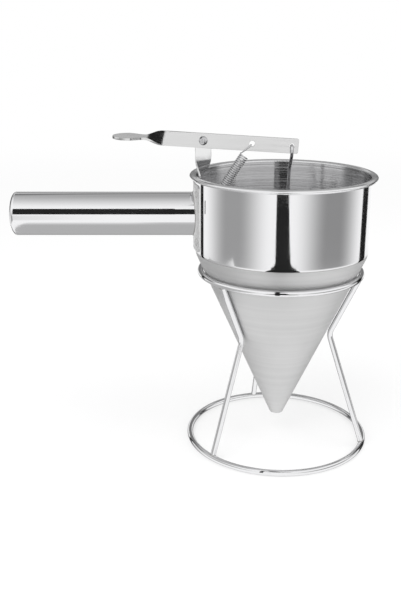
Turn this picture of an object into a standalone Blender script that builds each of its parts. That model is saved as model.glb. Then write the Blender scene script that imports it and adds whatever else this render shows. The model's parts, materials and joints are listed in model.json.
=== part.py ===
"""Dispensing funnel on a wire stand.

A spun cup with a rolled rim is welded to a long cone that ends in a small
nozzle. A tapered plug on a thin rod closes the nozzle from inside. The rod
hangs from a thumb lever, which turns on a screw in a twisted bracket, and a
coil spring pulls the lever back so that the plug shuts by itself. A tubular
handle is welded to a curved saddle on the cup. The funnel stands loose in a
stand of two wire rings and three bent legs.

Lengths are in metres. Z is up, the handle points along -X, the stand rests
on Z = 0, and the origin lies under the middle of the whole length.
"""

import math

import bmesh
import bpy
from mathutils import Matrix, Vector

MM = 0.001

# Clearances
SEAT_GAP = 0.3 * MM
BORE_GAP = 0.3 * MM
OVERRUN = 10 * MM
MERGE_DISTANCE = 0.001 * MM
SLOPE_STEP = 0.1 * MM

# Cup and cone, which share one sheet and one axis
SHEET = 0.8 * MM
CUP_RADIUS = 54.0 * MM
CUP_HEIGHT = 49.2 * MM
RIM_OVERHANG = 3.5 * MM
RIM_BEAD_HEIGHT = 2.8 * MM
SHOULDER_RADIUS = 12.0 * MM
SEAM_SHARE = 0.28
CONE_HALF_ANGLE = math.radians(24.2)
NOZZLE_RADIUS = 4.2 * MM
NOZZLE_Z = 16.5 * MM

# Handle
HANDLE_RADIUS = 13.4 * MM
HANDLE_WALL = 1.0 * MM
HANDLE_BELOW_RIM = 25.3 * MM
HANDLE_LENGTH = 112.65 * MM
CAP_CORNER_REACH = 3.25 * MM
CAP_CORNER_RADIUS = 7.0 * MM
CAP_SPIGOT_LENGTH = 4.0 * MM
SADDLE_THICKNESS = 1.0 * MM
SADDLE_WIDTH = 39.5 * MM
SADDLE_HEIGHT = 41.0 * MM
SADDLE_CORNER = 4.0 * MM

# Stand
RING_WIRE_RADIUS = 1.9 * MM
LEG_WIRE_RADIUS = 1.75 * MM
TOP_RING_INSET = 3.2 * MM
BASE_RING_RADIUS = 57.6 * MM
LEG_BEND_Z = 75.5 * MM
LEG_BEND_RADIUS = 9.0 * MM
LEG_AZIMUTHS = {
    "stand_leg_left": math.radians(221.5),
    "stand_leg_right": math.radians(341.5),
    "stand_leg_back": math.radians(101.5),
}

# Lever, measured from its pivot: + towards the rod, - towards the thumb pad
PIVOT_INSET = 4.1 * MM
PIVOT_ABOVE_RIM = 19.9 * MM
LEVER_SLOPE = math.radians(3.5)
LEVER_THICKNESS = 1.5 * MM
LEVER_WIDTH = 8.9 * MM
LEVER_END_CORNER = 1.0 * MM
LEVER_ROD_HOLE_RADIUS = 1.6 * MM
LEVER_END_MARGIN = 4.0 * MM
LEVER_SPRING_ARM = 29.6 * MM
LEVER_SPRING_HOLE_RADIUS = 1.75 * MM
LEVER_TWIST_START = 20.0 * MM
LEVER_TWIST_LENGTH = 15.5 * MM
LEVER_TWIST = math.radians(85)
PAD_LENGTH = 19.2 * MM
PAD_WIDTH = 15.5 * MM
PAD_DROP = 1.0 * MM

# Bracket, a strap that is twisted and then bent
BRACKET_THICKNESS = 1.2 * MM
BRACKET_WIDTH = 9.8 * MM
BRACKET_EAR_ABOVE_PIVOT = 4.0 * MM
BRACKET_EAR_CORNER = 3.0 * MM
BRACKET_TWIST_DROP = 7.0 * MM
BRACKET_TWIST_LENGTH = 18.5 * MM
BRACKET_SET_DROP = 12.0 * MM
BRACKET_SET_LENGTH = 24.0 * MM
BRACKET_WALL_GAP = 0.55 * MM
BRACKET_BEND_RADIUS = 2.2 * MM
TONGUE_BELOW_RIM = 26.0 * MM
TONGUE_LENGTH = 7.2 * MM
TONGUE_HOLE_INSET = 3.2 * MM
TONGUE_HOLE_RADIUS = 1.5 * MM

# Pivot screw and its nut
SCREW_RADIUS = 1.5 * MM
SCREW_HEAD_RADIUS = 2.6 * MM
SCREW_HEAD_HEIGHT = 1.7 * MM
SCREW_CROWN = 0.6 * MM
SCREW_RECESS_WIDTH = 0.7 * MM
SCREW_RECESS_SPAN = 3.0 * MM
SCREW_RECESS_DEPTH = 0.9 * MM
NUT_FLATS_RADIUS = 2.75 * MM
NUT_HEIGHT = 2.4 * MM
SCREW_TAIL = 0.8 * MM

# Return spring
SPRING_WIRE_RADIUS = 0.4 * MM
SPRING_COIL_RADIUS = 2.6 * MM
SPRING_TURNS = 29
SPRING_TOP_REACH = 8.8 * MM
SPRING_TAIL_REACH = 6.2 * MM
SPRING_LEG = 1.4 * MM
SPRING_HOOK_SHARES = (0.35, 0.65)

# Rod and plug
ROD_RADIUS = 1.0 * MM
ROD_HOOK_CORNER = 1.9 * MM
ROD_JOG_CORNER = 2.6 * MM
ROD_TAIL = 2.6 * MM
ROD_FRONT_LEG = 5.5 * MM
ROD_JOG_LENGTH = 8.0 * MM
ROD_EYE_X = 4.5 * MM
ROD_JOG_X = 0.9 * MM
ROD_RUN_SHARES = (0.35, 0.7)
PLUG_BOTTOM_ABOVE_NOZZLE = 3.0 * MM
PLUG_TAPER_HEIGHT = 5.0 * MM
PLUG_CROWN_HEIGHT = 2.2 * MM
PLUG_NECK_RADIUS = 2.4 * MM
PLUG_BLUNT = 0.6 * MM
PLUG_SOCKET_DEPTH = 4.5 * MM

# Fineness
ROUND_STEPS = 72
TUBE_STEPS = 48
SMALL_STEPS = 24
WIRE_SIDES = 10
CORNER_STEPS = 6
BEAD_STEPS = 12
CAP_STEPS = 8
SHOULDER_STEPS = 4
TWIST_CUTS = 14
SPRING_POINTS_PER_TURN = 9

# Worked out: the lines that the cup and the cone share
CUP_INNER_RADIUS = CUP_RADIUS - SHEET
CONE_SLOPE = math.tan(CONE_HALF_ANGLE)
KNEE_Z = NOZZLE_Z + (CUP_RADIUS - NOZZLE_RADIUS) / CONE_SLOPE
RIM_TOP_Z = KNEE_Z + CUP_HEIGHT
RIM_RADIUS = CUP_RADIUS + RIM_OVERHANG
SHOULDER_CENTRE_R = CUP_RADIUS - SHOULDER_RADIUS
SHOULDER_CENTRE_Z = KNEE_Z + SHOULDER_RADIUS * math.tan(CONE_HALF_ANGLE / 2)
SEAM_ANGLE = SEAM_SHARE * CONE_HALF_ANGLE
SEAM_HALF_GAP = SEAT_GAP / 2 / (SHOULDER_RADIUS - SHEET)
RIM_BEAD_HALF_WIDTH = (RIM_RADIUS - CUP_INNER_RADIUS) / 2
RIM_BEAD_R = RIM_RADIUS - RIM_BEAD_HALF_WIDTH
RIM_BEAD_Z = RIM_TOP_Z - RIM_BEAD_HEIGHT / 2
SADDLE_INNER_RADIUS = CUP_RADIUS + SEAT_GAP
SADDLE_OUTER_RADIUS = SADDLE_INNER_RADIUS + SADDLE_THICKNESS
HANDLE_Z = RIM_TOP_Z - HANDLE_BELOW_RIM
HANDLE_REACH = SADDLE_OUTER_RADIUS + HANDLE_LENGTH
TOP_RING_RADIUS = CUP_RADIUS - TOP_RING_INSET

# Worked out: the pivot, and the arm from it that brings the rod near the funnel's axis
PIVOT_X = PIVOT_INSET - CUP_INNER_RADIUS
PIVOT_Z = RIM_TOP_Z + PIVOT_ABOVE_RIM
LEVER_ROD_ARM = (ROD_EYE_X - PIVOT_X) / math.cos(LEVER_SLOPE)
TONGUE_Z = RIM_TOP_Z - TONGUE_BELOW_RIM

# Worked out: planes of the lever work, from the bracket's ear at Y = 0 forwards
LEVER_BACK_Y = -BRACKET_THICKNESS / 2 - SEAT_GAP
LEVER_MID_Y = LEVER_BACK_Y - LEVER_THICKNESS / 2
LEVER_FRONT_Y = LEVER_BACK_Y - LEVER_THICKNESS
PIVOT_HOLE_RADIUS = SCREW_RADIUS + BORE_GAP
LEVER_INNER_END = LEVER_ROD_ARM + LEVER_END_MARGIN
BRACKET_LEG_X = -CUP_INNER_RADIUS + BRACKET_WALL_GAP + BRACKET_THICKNESS / 2

# The funnel's axis lies to the +X side of the middle of the whole length
AXIS_X = (HANDLE_REACH - BASE_RING_RADIUS - RING_WIRE_RADIUS) / 2


def clear_scene():
    for item in list(bpy.data.objects):
        bpy.data.objects.remove(item, do_unlink=True)


def collection(name):
    group = bpy.data.collections.new(name)
    bpy.context.scene.collection.children.link(group)
    return group


def material(name, color, roughness, metallic=1.0):
    made = bpy.data.materials.new(name)
    made.use_nodes = True
    shader = made.node_tree.nodes["Principled BSDF"]
    shader.inputs["Base Color"].default_value = (*color, 1)
    shader.inputs["Roughness"].default_value = roughness
    shader.inputs["Metallic"].default_value = metallic
    made.diffuse_color = (*color, 1)
    return made


def add(name, mesh, group, finish=None):
    made = bpy.data.objects.new(name, mesh)
    group.objects.link(made)
    if finish is not None:
        mesh.materials.append(finish)
    return made


def smooth(mesh, angle=35):
    mesh.shade_smooth()
    mesh.set_sharp_from_angle(angle=math.radians(angle))


def as_mesh(source):
    """Swap a curve object for the mesh of its surface, with welded caps."""
    bpy.context.view_layer.update()
    graph = bpy.context.evaluated_depsgraph_get()
    mesh = bpy.data.meshes.new_from_object(source.evaluated_get(graph))
    welded = bmesh.new()
    welded.from_mesh(mesh)
    bmesh.ops.remove_doubles(welded, verts=welded.verts, dist=MERGE_DISTANCE)
    bmesh.ops.recalc_face_normals(welded, faces=welded.faces)
    welded.to_mesh(mesh)
    welded.free()
    made = bpy.data.objects.new(source.name + "_mesh", mesh)
    made.matrix_world = source.matrix_world
    for group in source.users_collection:
        group.objects.link(made)
    name = source.name
    bpy.data.objects.remove(source, do_unlink=True)
    made.name = name
    return made


def arc(centre, radius_a, radius_b, start, end, steps):
    """Points of an elliptical arc, angles in radians."""
    points = []
    for i in range(steps + 1):
        angle = start + (end - start) * i / steps
        points.append((centre[0] + radius_a * math.cos(angle), centre[1] + radius_b * math.sin(angle)))
    return points


def turned(name, outline, steps, group, finish):
    """Turn a closed (radius, height) outline, listed down its outer side, round local Z."""
    mesh = bpy.data.meshes.new(name)
    count = len(outline)
    verts = [(r, 0, z) for r, z in outline]
    edges = [(i, (i + 1) % count) for i in range(count)]
    mesh.from_pydata(verts, edges, [])
    made = add(name, mesh, group, finish)
    screw = made.modifiers.new("turn", "SCREW")
    screw.axis = "Z"
    screw.angle = 2 * math.pi
    screw.steps = steps
    screw.render_steps = steps
    screw.use_merge_vertices = True
    screw.merge_threshold = MERGE_DISTANCE
    screw.use_smooth_shade = True
    return made


def turned_solid(name, outline, steps, group, finish):
    """Turn an outline that starts and ends on the axis, so that it closes there."""
    mesh = bpy.data.meshes.new(name)
    verts = [(r, 0, z) for r, z in outline]
    edges = [(i, i + 1) for i in range(len(outline) - 1)]
    mesh.from_pydata(verts, edges, [])
    made = add(name, mesh, group, finish)
    screw = made.modifiers.new("turn", "SCREW")
    screw.axis = "Z"
    screw.angle = 2 * math.pi
    screw.steps = steps
    screw.render_steps = steps
    screw.use_merge_vertices = True
    screw.merge_threshold = MERGE_DISTANCE
    screw.use_smooth_shade = True
    return made


def wire(name, points, radius, group, finish, resolution=2):
    """A round wire along a list of points."""
    curve = bpy.data.curves.new(name, "CURVE")
    curve.dimensions = "3D"
    curve.bevel_depth = radius
    curve.bevel_resolution = resolution
    curve.use_fill_caps = True
    spline = curve.splines.new("POLY")
    spline.points.add(len(points) - 1)
    for target, point in zip(spline.points, points):
        target.co = (*point, 1)
    made = bpy.data.objects.new(name, curve)
    group.objects.link(made)
    curve.materials.append(finish)
    return made


def ring(name, radius, wire_radius, z, group, finish):
    """A closed wire ring whose lowest facets are flat."""
    bpy.ops.mesh.primitive_torus_add(
        major_radius=radius,
        minor_radius=wire_radius,
        major_segments=ROUND_STEPS,
        minor_segments=WIRE_SIDES,
        location=(0, 0, z),
    )
    made = bpy.context.object
    made.name = name
    made.data.name = name
    for owner in list(made.users_collection):
        owner.objects.unlink(made)
    group.objects.link(made)
    made.data.materials.append(finish)
    smooth(made.data, 60)
    return made


def plate(name, outlines, thickness, group, finish):
    """A flat plate in local XY, cut from closed outlines, the later ones its holes."""
    curve = bpy.data.curves.new(name, "CURVE")
    curve.dimensions = "2D"
    curve.fill_mode = "BOTH"
    curve.extrude = thickness / 2
    for outline in outlines:
        spline = curve.splines.new("POLY")
        spline.points.add(len(outline) - 1)
        for target, point in zip(spline.points, outline):
            target.co = (point[0], point[1], 0, 1)
        spline.use_cyclic_u = True
    made = bpy.data.objects.new(name, curve)
    group.objects.link(made)
    curve.materials.append(finish)
    return as_mesh(made)


def circle(x, y, radius, steps=SMALL_STEPS):
    return [
        (x + radius * math.cos(2 * math.pi * i / steps), y + radius * math.sin(2 * math.pi * i / steps))
        for i in range(steps)
    ]


def rounded_box(low, high, corner):
    """Outline of a rectangle with round corners, counter-clockwise."""
    (x0, y0), (x1, y1) = low, high
    points = []
    points += arc((x1 - corner, y1 - corner), corner, corner, 0, math.pi / 2, CORNER_STEPS)
    points += arc((x0 + corner, y1 - corner), corner, corner, math.pi / 2, math.pi, CORNER_STEPS)
    points += arc((x0 + corner, y0 + corner), corner, corner, math.pi, 1.5 * math.pi, CORNER_STEPS)
    points += arc((x1 - corner, y0 + corner), corner, corner, 1.5 * math.pi, 2 * math.pi, CORNER_STEPS)
    return points


def form(piece, stations, shape):
    """Cut a flat plate across at the given places along X, then move its points by shape."""
    work = bmesh.new()
    work.from_mesh(piece.data)
    for x in stations:
        everything = work.verts[:] + work.edges[:] + work.faces[:]
        bmesh.ops.bisect_plane(
            work, geom=everything, dist=MERGE_DISTANCE, plane_co=(x, 0, 0), plane_no=(1, 0, 0)
        )
    bmesh.ops.triangulate(work, faces=work.faces)
    for vert in work.verts:
        vert.co = shape(vert.co.copy())
    bmesh.ops.recalc_face_normals(work, faces=work.faces)
    work.to_mesh(piece.data)
    work.free()
    smooth(piece.data)


def cut(piece, cutter, operation="DIFFERENCE"):
    trim = piece.modifiers.new(operation.lower(), "BOOLEAN")
    trim.object = cutter
    trim.operation = operation
    trim.solver = "EXACT"


def hide_cutter(cutter):
    cutter.hide_render = True
    cutter.display_type = "WIRE"


def ease(share):
    """Smooth step from 0 to 1."""
    share = min(max(share, 0), 1)
    return share * share * (3 - 2 * share)


def spread(start, end, count):
    return [start + (end - start) * i / count for i in range(count + 1)]


def cup(group):
    finish = material("polished_cup", (0.80, 0.80, 0.81), 0.08)
    wall_join = -math.acos((CUP_RADIUS - RIM_BEAD_R) / RIM_BEAD_HALF_WIDTH)
    bead = arc(
        (RIM_BEAD_R, RIM_BEAD_Z), RIM_BEAD_HALF_WIDTH, RIM_BEAD_HEIGHT / 2, math.pi, wall_join, BEAD_STEPS
    )
    centre = (SHOULDER_CENTRE_R, SHOULDER_CENTRE_Z)
    edge = -SEAM_ANGLE + SEAM_HALF_GAP
    outer = arc(centre, SHOULDER_RADIUS, SHOULDER_RADIUS, 0, edge, 2)
    inner_radius = SHOULDER_RADIUS - SHEET
    inner = arc(centre, inner_radius, inner_radius, edge, 0, 2)
    return turned("cup", bead + outer + inner, ROUND_STEPS, group, finish)


def cone_point(z, inset=0.0):
    """Radius of the cone's outer face at a height, less an inset square to that face."""
    return NOZZLE_RADIUS + (z - NOZZLE_Z) * CONE_SLOPE - inset / math.cos(CONE_HALF_ANGLE)


def cone(group):
    finish = material("satin_cone", (0.62, 0.62, 0.62), 0.38)
    centre = (SHOULDER_CENTRE_R, SHOULDER_CENTRE_Z)
    edge = -SEAM_ANGLE - SEAM_HALF_GAP
    inner_radius = SHOULDER_RADIUS - SHEET
    outer = arc(centre, SHOULDER_RADIUS, SHOULDER_RADIUS, edge, -CONE_HALF_ANGLE, SHOULDER_STEPS)
    tip = [(NOZZLE_RADIUS, NOZZLE_Z), (cone_point(NOZZLE_Z, SHEET), NOZZLE_Z)]
    inner = arc(centre, inner_radius, inner_radius, -CONE_HALF_ANGLE, edge, SHOULDER_STEPS)
    return turned("cone", outer + tip + inner, ROUND_STEPS, group, finish)


def handle(group, cutters):
    """Saddle, coped tube and domed end cap."""
    saddle_finish = material("saddle_steel", (0.74, 0.74, 0.75), 0.16)
    low_z = HANDLE_Z - SADDLE_HEIGHT / 2
    high_z = HANDLE_Z + SADDLE_HEIGHT / 2
    shell = [
        (SADDLE_OUTER_RADIUS, high_z + OVERRUN),
        (SADDLE_OUTER_RADIUS, low_z - OVERRUN),
        (SADDLE_INNER_RADIUS, low_z - OVERRUN),
        (SADDLE_INNER_RADIUS, high_z + OVERRUN),
    ]
    saddle = turned("handle_saddle", shell, 2 * ROUND_STEPS, group, saddle_finish)
    corner = (SADDLE_HEIGHT / 2, SADDLE_WIDTH / 2)
    border = rounded_box((-corner[0], -corner[1]), corner, SADDLE_CORNER)
    window = plate("saddle_window", [border], SADDLE_OUTER_RADIUS, cutters, saddle_finish)
    window.matrix_world = Matrix.Translation((-SADDLE_OUTER_RADIUS, 0, HANDLE_Z)) @ Matrix.Rotation(
        math.pi / 2, 4, "Y"
    )
    hide_cutter(window)
    cut(saddle, window, "INTERSECT")

    tube_finish = material("polished_handle", (0.80, 0.80, 0.81), 0.07)
    tube_end = HANDLE_REACH - CAP_CORNER_REACH - SEAT_GAP
    tube_start = SADDLE_OUTER_RADIUS - HANDLE_RADIUS
    bore = HANDLE_RADIUS - HANDLE_WALL
    section = [(HANDLE_RADIUS, tube_end), (HANDLE_RADIUS, tube_start), (bore, tube_start), (bore, tube_end)]
    tube = turned("handle_tube", section, TUBE_STEPS, group, tube_finish)
    lie_back = Matrix.Translation((0, 0, HANDLE_Z)) @ Matrix.Rotation(-math.pi / 2, 4, "Y")
    tube.matrix_world = lie_back
    cope_radius = SADDLE_OUTER_RADIUS + SEAT_GAP
    cope = turned_solid(
        "cope_cutter",
        [
            (0, HANDLE_Z + HANDLE_RADIUS + OVERRUN),
            (cope_radius, HANDLE_Z + HANDLE_RADIUS + OVERRUN),
            (cope_radius, HANDLE_Z - HANDLE_RADIUS - OVERRUN),
            (0, HANDLE_Z - HANDLE_RADIUS - OVERRUN),
        ],
        2 * ROUND_STEPS,
        cutters,
        tube_finish,
    )
    hide_cutter(cope)
    cut(tube, cope)

    cap_finish = material("polished_cap", (0.80, 0.80, 0.81), 0.09)
    cap_start = HANDLE_REACH - CAP_CORNER_REACH
    flat = HANDLE_RADIUS - CAP_CORNER_RADIUS
    spigot = bore - BORE_GAP
    dome = arc((flat, cap_start), CAP_CORNER_RADIUS, CAP_CORNER_REACH, math.pi / 2, 0, CAP_STEPS)
    inside_corner = CAP_CORNER_RADIUS - HANDLE_WALL
    inside_reach = CAP_CORNER_REACH - HANDLE_WALL
    hollow = arc((flat, cap_start), inside_corner, inside_reach, 0, math.pi / 2, CAP_STEPS // 2)
    hollow = [(min(r, spigot - HANDLE_WALL), z) for r, z in hollow]
    outline = [(0, HANDLE_REACH)] + dome + [
        (spigot, cap_start),
        (spigot, cap_start - CAP_SPIGOT_LENGTH),
        (spigot - HANDLE_WALL, cap_start - CAP_SPIGOT_LENGTH),
    ] + hollow + [(0, HANDLE_REACH - HANDLE_WALL)]
    cap = turned_solid("handle_end_cap", outline, TUBE_STEPS, group, cap_finish)
    cap.matrix_world = lie_back


def stand(group):
    finish = material("stand_wire", (0.78, 0.78, 0.79), 0.12)
    base_z = RING_WIRE_RADIUS * math.cos(math.pi / WIRE_SIDES)
    ring("stand_base_ring", BASE_RING_RADIUS, RING_WIRE_RADIUS, base_z, group, finish)

    # The ring's wire lies against the cone, so its height follows its radius
    ring_offset = (RING_WIRE_RADIUS + SEAT_GAP) / math.cos(CONE_HALF_ANGLE)
    top_z = NOZZLE_Z + (TOP_RING_RADIUS - ring_offset - NOZZLE_RADIUS) / CONE_SLOPE
    ring("stand_top_ring", TOP_RING_RADIUS, RING_WIRE_RADIUS, top_z, group, finish.copy())

    bend_r = cone_point(LEG_BEND_Z) + (LEG_WIRE_RADIUS + SEAT_GAP) / math.cos(CONE_HALF_ANGLE)
    bend = Vector((bend_r, LEG_BEND_Z))
    up = Vector((math.sin(CONE_HALF_ANGLE), math.cos(CONE_HALF_ANGLE)))
    to_ring = RING_WIRE_RADIUS + SEAT_GAP
    top = bend + up * ((top_z - LEG_BEND_Z) / up.y - to_ring)
    base_centre = Vector((BASE_RING_RADIUS, base_z))
    down = (base_centre - bend).normalized()
    foot = base_centre - down * to_ring
    path = [top] + fillet(top, bend, foot, LEG_BEND_RADIUS) + [foot]
    for name, azimuth in LEG_AZIMUTHS.items():
        points = [(p.x * math.cos(azimuth), p.x * math.sin(azimuth), p.y) for p in path]
        wire(name, points, LEG_WIRE_RADIUS, group, finish.copy())


def fillet(before, corner, after, radius):
    """Points of the arc that rounds a corner of a flat path."""
    a = (before - corner).normalized()
    b = (after - corner).normalized()
    half = a.angle(b) / 2
    centre = corner + (a + b).normalized() * (radius / math.sin(half))
    first = corner + a * (radius / math.tan(half)) - centre
    last = corner + b * (radius / math.tan(half)) - centre
    turn = first.angle_signed(last)
    points = []
    for i in range(CORNER_STEPS + 1):
        angle = -turn * i / CORNER_STEPS
        spoke = Vector(
            (
                first.x * math.cos(angle) - first.y * math.sin(angle),
                first.x * math.sin(angle) + first.y * math.cos(angle),
            )
        )
        points.append(centre + spoke)
    return points


def lever_outline():
    """The flat strip with its leaf-shaped thumb pad, counter-clockwise from the rod end."""
    half = LEVER_WIDTH / 2
    neck = -LEVER_TWIST_START - LEVER_TWIST_LENGTH
    pad_half = PAD_WIDTH / 2
    corner = LEVER_END_CORNER
    upper = arc((LEVER_INNER_END - corner, half - corner), corner, corner, 0, math.pi / 2, 3)
    swell = []
    for share in spread(0, 1, CORNER_STEPS):
        swell.append((neck - PAD_LENGTH / 2 * share, half + (pad_half - half) * ease(share)))
    tip = arc((neck - PAD_LENGTH / 2, 0), PAD_LENGTH / 2, pad_half, math.pi / 2, math.pi, 2 * CORNER_STEPS)
    one_side = upper + swell + tip[1:]
    other_side = [(x, -y) for x, y in reversed(one_side[:-1])]
    return one_side + other_side


def lever(group):
    finish = material("lever_steel", (0.72, 0.72, 0.72), 0.22)
    holes = [
        circle(0, 0, PIVOT_HOLE_RADIUS),
        circle(LEVER_SPRING_ARM, 0, LEVER_SPRING_HOLE_RADIUS),
        circle(LEVER_ROD_ARM, 0, LEVER_ROD_HOLE_RADIUS),
    ]
    strip = plate("lever", [lever_outline()] + holes, LEVER_THICKNESS, group, finish)
    twist_end = LEVER_TWIST_START + LEVER_TWIST_LENGTH
    reach = LEVER_TWIST_LENGTH + PAD_LENGTH

    def shape(co):
        # Flat strip in XY becomes an upright bar whose front face is at -Y
        along, across, out = co.x, co.y, -co.z
        beyond = max(-along - LEVER_TWIST_START, 0)
        angle = -LEVER_TWIST * ease(beyond / LEVER_TWIST_LENGTH)
        y = out * math.cos(angle) - across * math.sin(angle)
        z = out * math.sin(angle) + across * math.cos(angle)
        return Vector((along, y, z - PAD_DROP * (beyond / reach) ** 2))

    stations = spread(-LEVER_TWIST_START, -twist_end, TWIST_CUTS)
    stations += spread(-twist_end, -twist_end - PAD_LENGTH, CORNER_STEPS)[1:-1]
    form(strip, stations, shape)
    strip.matrix_world = Matrix.Translation((PIVOT_X, LEVER_MID_Y, PIVOT_Z)) @ Matrix.Rotation(
        LEVER_SLOPE, 4, "Y"
    )
    return strip


def on_lever(arm):
    """Place on the lever's middle line, measured from the pivot towards the rod."""
    return Vector(
        (PIVOT_X + arm * math.cos(LEVER_SLOPE), LEVER_MID_Y, PIVOT_Z - arm * math.sin(LEVER_SLOPE))
    )


def bracket(group):
    """Upright ear at the pivot, a quarter twist, a leg down the cup's wall and a spring tongue."""
    finish = material("bracket_steel", (0.76, 0.76, 0.76), 0.18)
    top_z = PIVOT_Z + BRACKET_EAR_ABOVE_PIVOT
    leg_length = top_z - TONGUE_Z - BRACKET_BEND_RADIUS
    bend_length = BRACKET_BEND_RADIUS * math.pi / 2
    length = leg_length + bend_length + TONGUE_LENGTH - BRACKET_BEND_RADIUS
    half = BRACKET_WIDTH / 2
    outline = rounded_box((0, -half), (length, half), BRACKET_EAR_CORNER)
    holes = [
        circle(BRACKET_EAR_ABOVE_PIVOT, 0, PIVOT_HOLE_RADIUS),
        circle(length - TONGUE_HOLE_INSET, 0, TONGUE_HOLE_RADIUS),
    ]
    strap = plate("lever_bracket", [outline] + holes, BRACKET_THICKNESS, group, finish)
    twist_start = BRACKET_EAR_ABOVE_PIVOT + BRACKET_TWIST_DROP
    set_start = BRACKET_EAR_ABOVE_PIVOT + BRACKET_SET_DROP

    def middle(s):
        if s <= leg_length:
            share = ease((s - set_start) / BRACKET_SET_LENGTH)
            return Vector((PIVOT_X + (BRACKET_LEG_X - PIVOT_X) * share, 0, top_z - s))
        angle = min((s - leg_length) / BRACKET_BEND_RADIUS, math.pi / 2)
        x = BRACKET_LEG_X + BRACKET_BEND_RADIUS * (1 - math.cos(angle))
        z = top_z - leg_length - BRACKET_BEND_RADIUS * math.sin(angle)
        return Vector((x + max(s - leg_length - bend_length, 0), 0, z))

    def shape(co):
        place = middle(co.x)
        along = (middle(co.x + SLOPE_STEP) - middle(co.x - SLOPE_STEP)).normalized()
        sideways = Vector((0, 1, 0))
        in_plane = along.cross(sideways)
        angle = math.pi / 2 * ease((co.x - twist_start) / BRACKET_TWIST_LENGTH)
        width = in_plane * math.cos(angle) + sideways * math.sin(angle)
        out = along.cross(width)
        return place + width * co.y + out * co.z

    stations = spread(twist_start, set_start + BRACKET_SET_LENGTH, TWIST_CUTS)
    stations += spread(leg_length, leg_length + bend_length, CORNER_STEPS)
    form(strap, stations, shape)
    return strap


def pivot(group, cutters):
    """Cross-recessed pan screw through the lever and the ear, with a nut behind."""
    finish = material("screw_steel", (0.66, 0.66, 0.67), 0.2)
    to_front = Matrix.Translation((PIVOT_X, 0, PIVOT_Z)) @ Matrix.Rotation(math.pi / 2, 4, "X")
    head_start = -LEVER_FRONT_Y + SEAT_GAP
    nut_start = BRACKET_THICKNESS / 2 + SEAT_GAP
    tail = -(nut_start + NUT_HEIGHT + SCREW_TAIL)
    rim_height = head_start + SCREW_HEAD_HEIGHT - SCREW_CROWN
    crown = arc((0, rim_height), SCREW_HEAD_RADIUS, SCREW_CROWN, math.pi / 2, 0, CORNER_STEPS)
    outline = crown + [
        (SCREW_HEAD_RADIUS, head_start),
        (SCREW_RADIUS, head_start),
        (SCREW_RADIUS, tail),
        (0, tail),
    ]
    screw = turned_solid("pivot_screw", outline, SMALL_STEPS, group, finish)
    screw.matrix_world = to_front
    for turn in range(2):
        bpy.ops.mesh.primitive_cube_add(size=1)
        slot = bpy.context.object
        slot.name = f"recess_cutter_{turn}"
        slot.data.transform(
            Matrix.Diagonal((SCREW_RECESS_SPAN, SCREW_RECESS_WIDTH, 2 * SCREW_RECESS_DEPTH, 1))
        )
        slot.matrix_world = to_front @ Matrix.Translation(
            (0, 0, head_start + SCREW_HEAD_HEIGHT)
        ) @ Matrix.Rotation(math.pi / 4 + turn * math.pi / 2, 4, "Z")
        for owner in list(slot.users_collection):
            owner.objects.unlink(slot)
        cutters.objects.link(slot)
        hide_cutter(slot)
        cut(screw, slot)

    corner = NUT_FLATS_RADIUS / math.cos(math.pi / 6)
    hexagon = circle(0, 0, corner, 6)
    nut = plate("pivot_nut", [hexagon, circle(0, 0, PIVOT_HOLE_RADIUS)], NUT_HEIGHT, group, finish.copy())
    nut.matrix_world = Matrix.Translation(
        (PIVOT_X, nut_start + NUT_HEIGHT / 2, PIVOT_Z)
    ) @ Matrix.Rotation(math.pi / 2, 4, "X")
    smooth(nut.data, 30)


def spring_points():
    """Hook in the lever's hole, coil, and a hook through the bracket's tongue."""
    tongue_end = BRACKET_LEG_X + TONGUE_LENGTH
    anchor = Vector((tongue_end - TONGUE_HOLE_INSET, 0, TONGUE_Z))
    hole = on_lever(LEVER_SPRING_ARM)
    line = (hole - anchor).normalized()
    front = Vector((0, -1, 0))
    left = line.cross(front).normalized()
    if left.x > 0:
        left = -left
    front = line.cross(left).normalized()
    if front.y > 0:
        front = -front
    front_plane = LEVER_FRONT_Y - SEAT_GAP - SPRING_WIRE_RADIUS
    back_plane = LEVER_BACK_Y + SEAT_GAP + SPRING_WIRE_RADIUS
    seat = hole - line * (LEVER_SPRING_HOLE_RADIUS - SPRING_WIRE_RADIUS - SEAT_GAP)

    points = []
    points.append(Vector((seat.x, back_plane, seat.z)) - line * SPRING_LEG)
    points.append(Vector((seat.x, back_plane, seat.z)))
    points.append(Vector((seat.x, front_plane, seat.z)))
    coil_top = hole - line * SPRING_TOP_REACH
    coil_bottom = anchor + line * SPRING_TAIL_REACH
    start = coil_top + left * SPRING_COIL_RADIUS
    rise = Vector((seat.x, front_plane, seat.z))
    for share in SPRING_HOOK_SHARES:
        mid = rise.lerp(start, share)
        mid.y = front_plane
        points.append(mid)
    count = SPRING_TURNS * SPRING_POINTS_PER_TURN
    for i in range(count + 1):
        angle = 2 * math.pi * i / SPRING_POINTS_PER_TURN
        centre = coil_top.lerp(coil_bottom, i / count)
        spoke = left * math.cos(angle) + front * math.sin(angle)
        points.append(centre + spoke * SPRING_COIL_RADIUS)
    hook_x = anchor.x + TONGUE_HOLE_RADIUS - SPRING_WIRE_RADIUS - SEAT_GAP
    over = TONGUE_Z + BRACKET_THICKNESS / 2 + SEAT_GAP + SPRING_WIRE_RADIUS
    under = TONGUE_Z - BRACKET_THICKNESS / 2 - SEAT_GAP - SPRING_WIRE_RADIUS
    points.append(Vector((hook_x, 0, over + SPRING_LEG)))
    points.append(Vector((hook_x, 0, under)))
    points.append(Vector((hook_x + SPRING_LEG, 0, under)))
    return points


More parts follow.
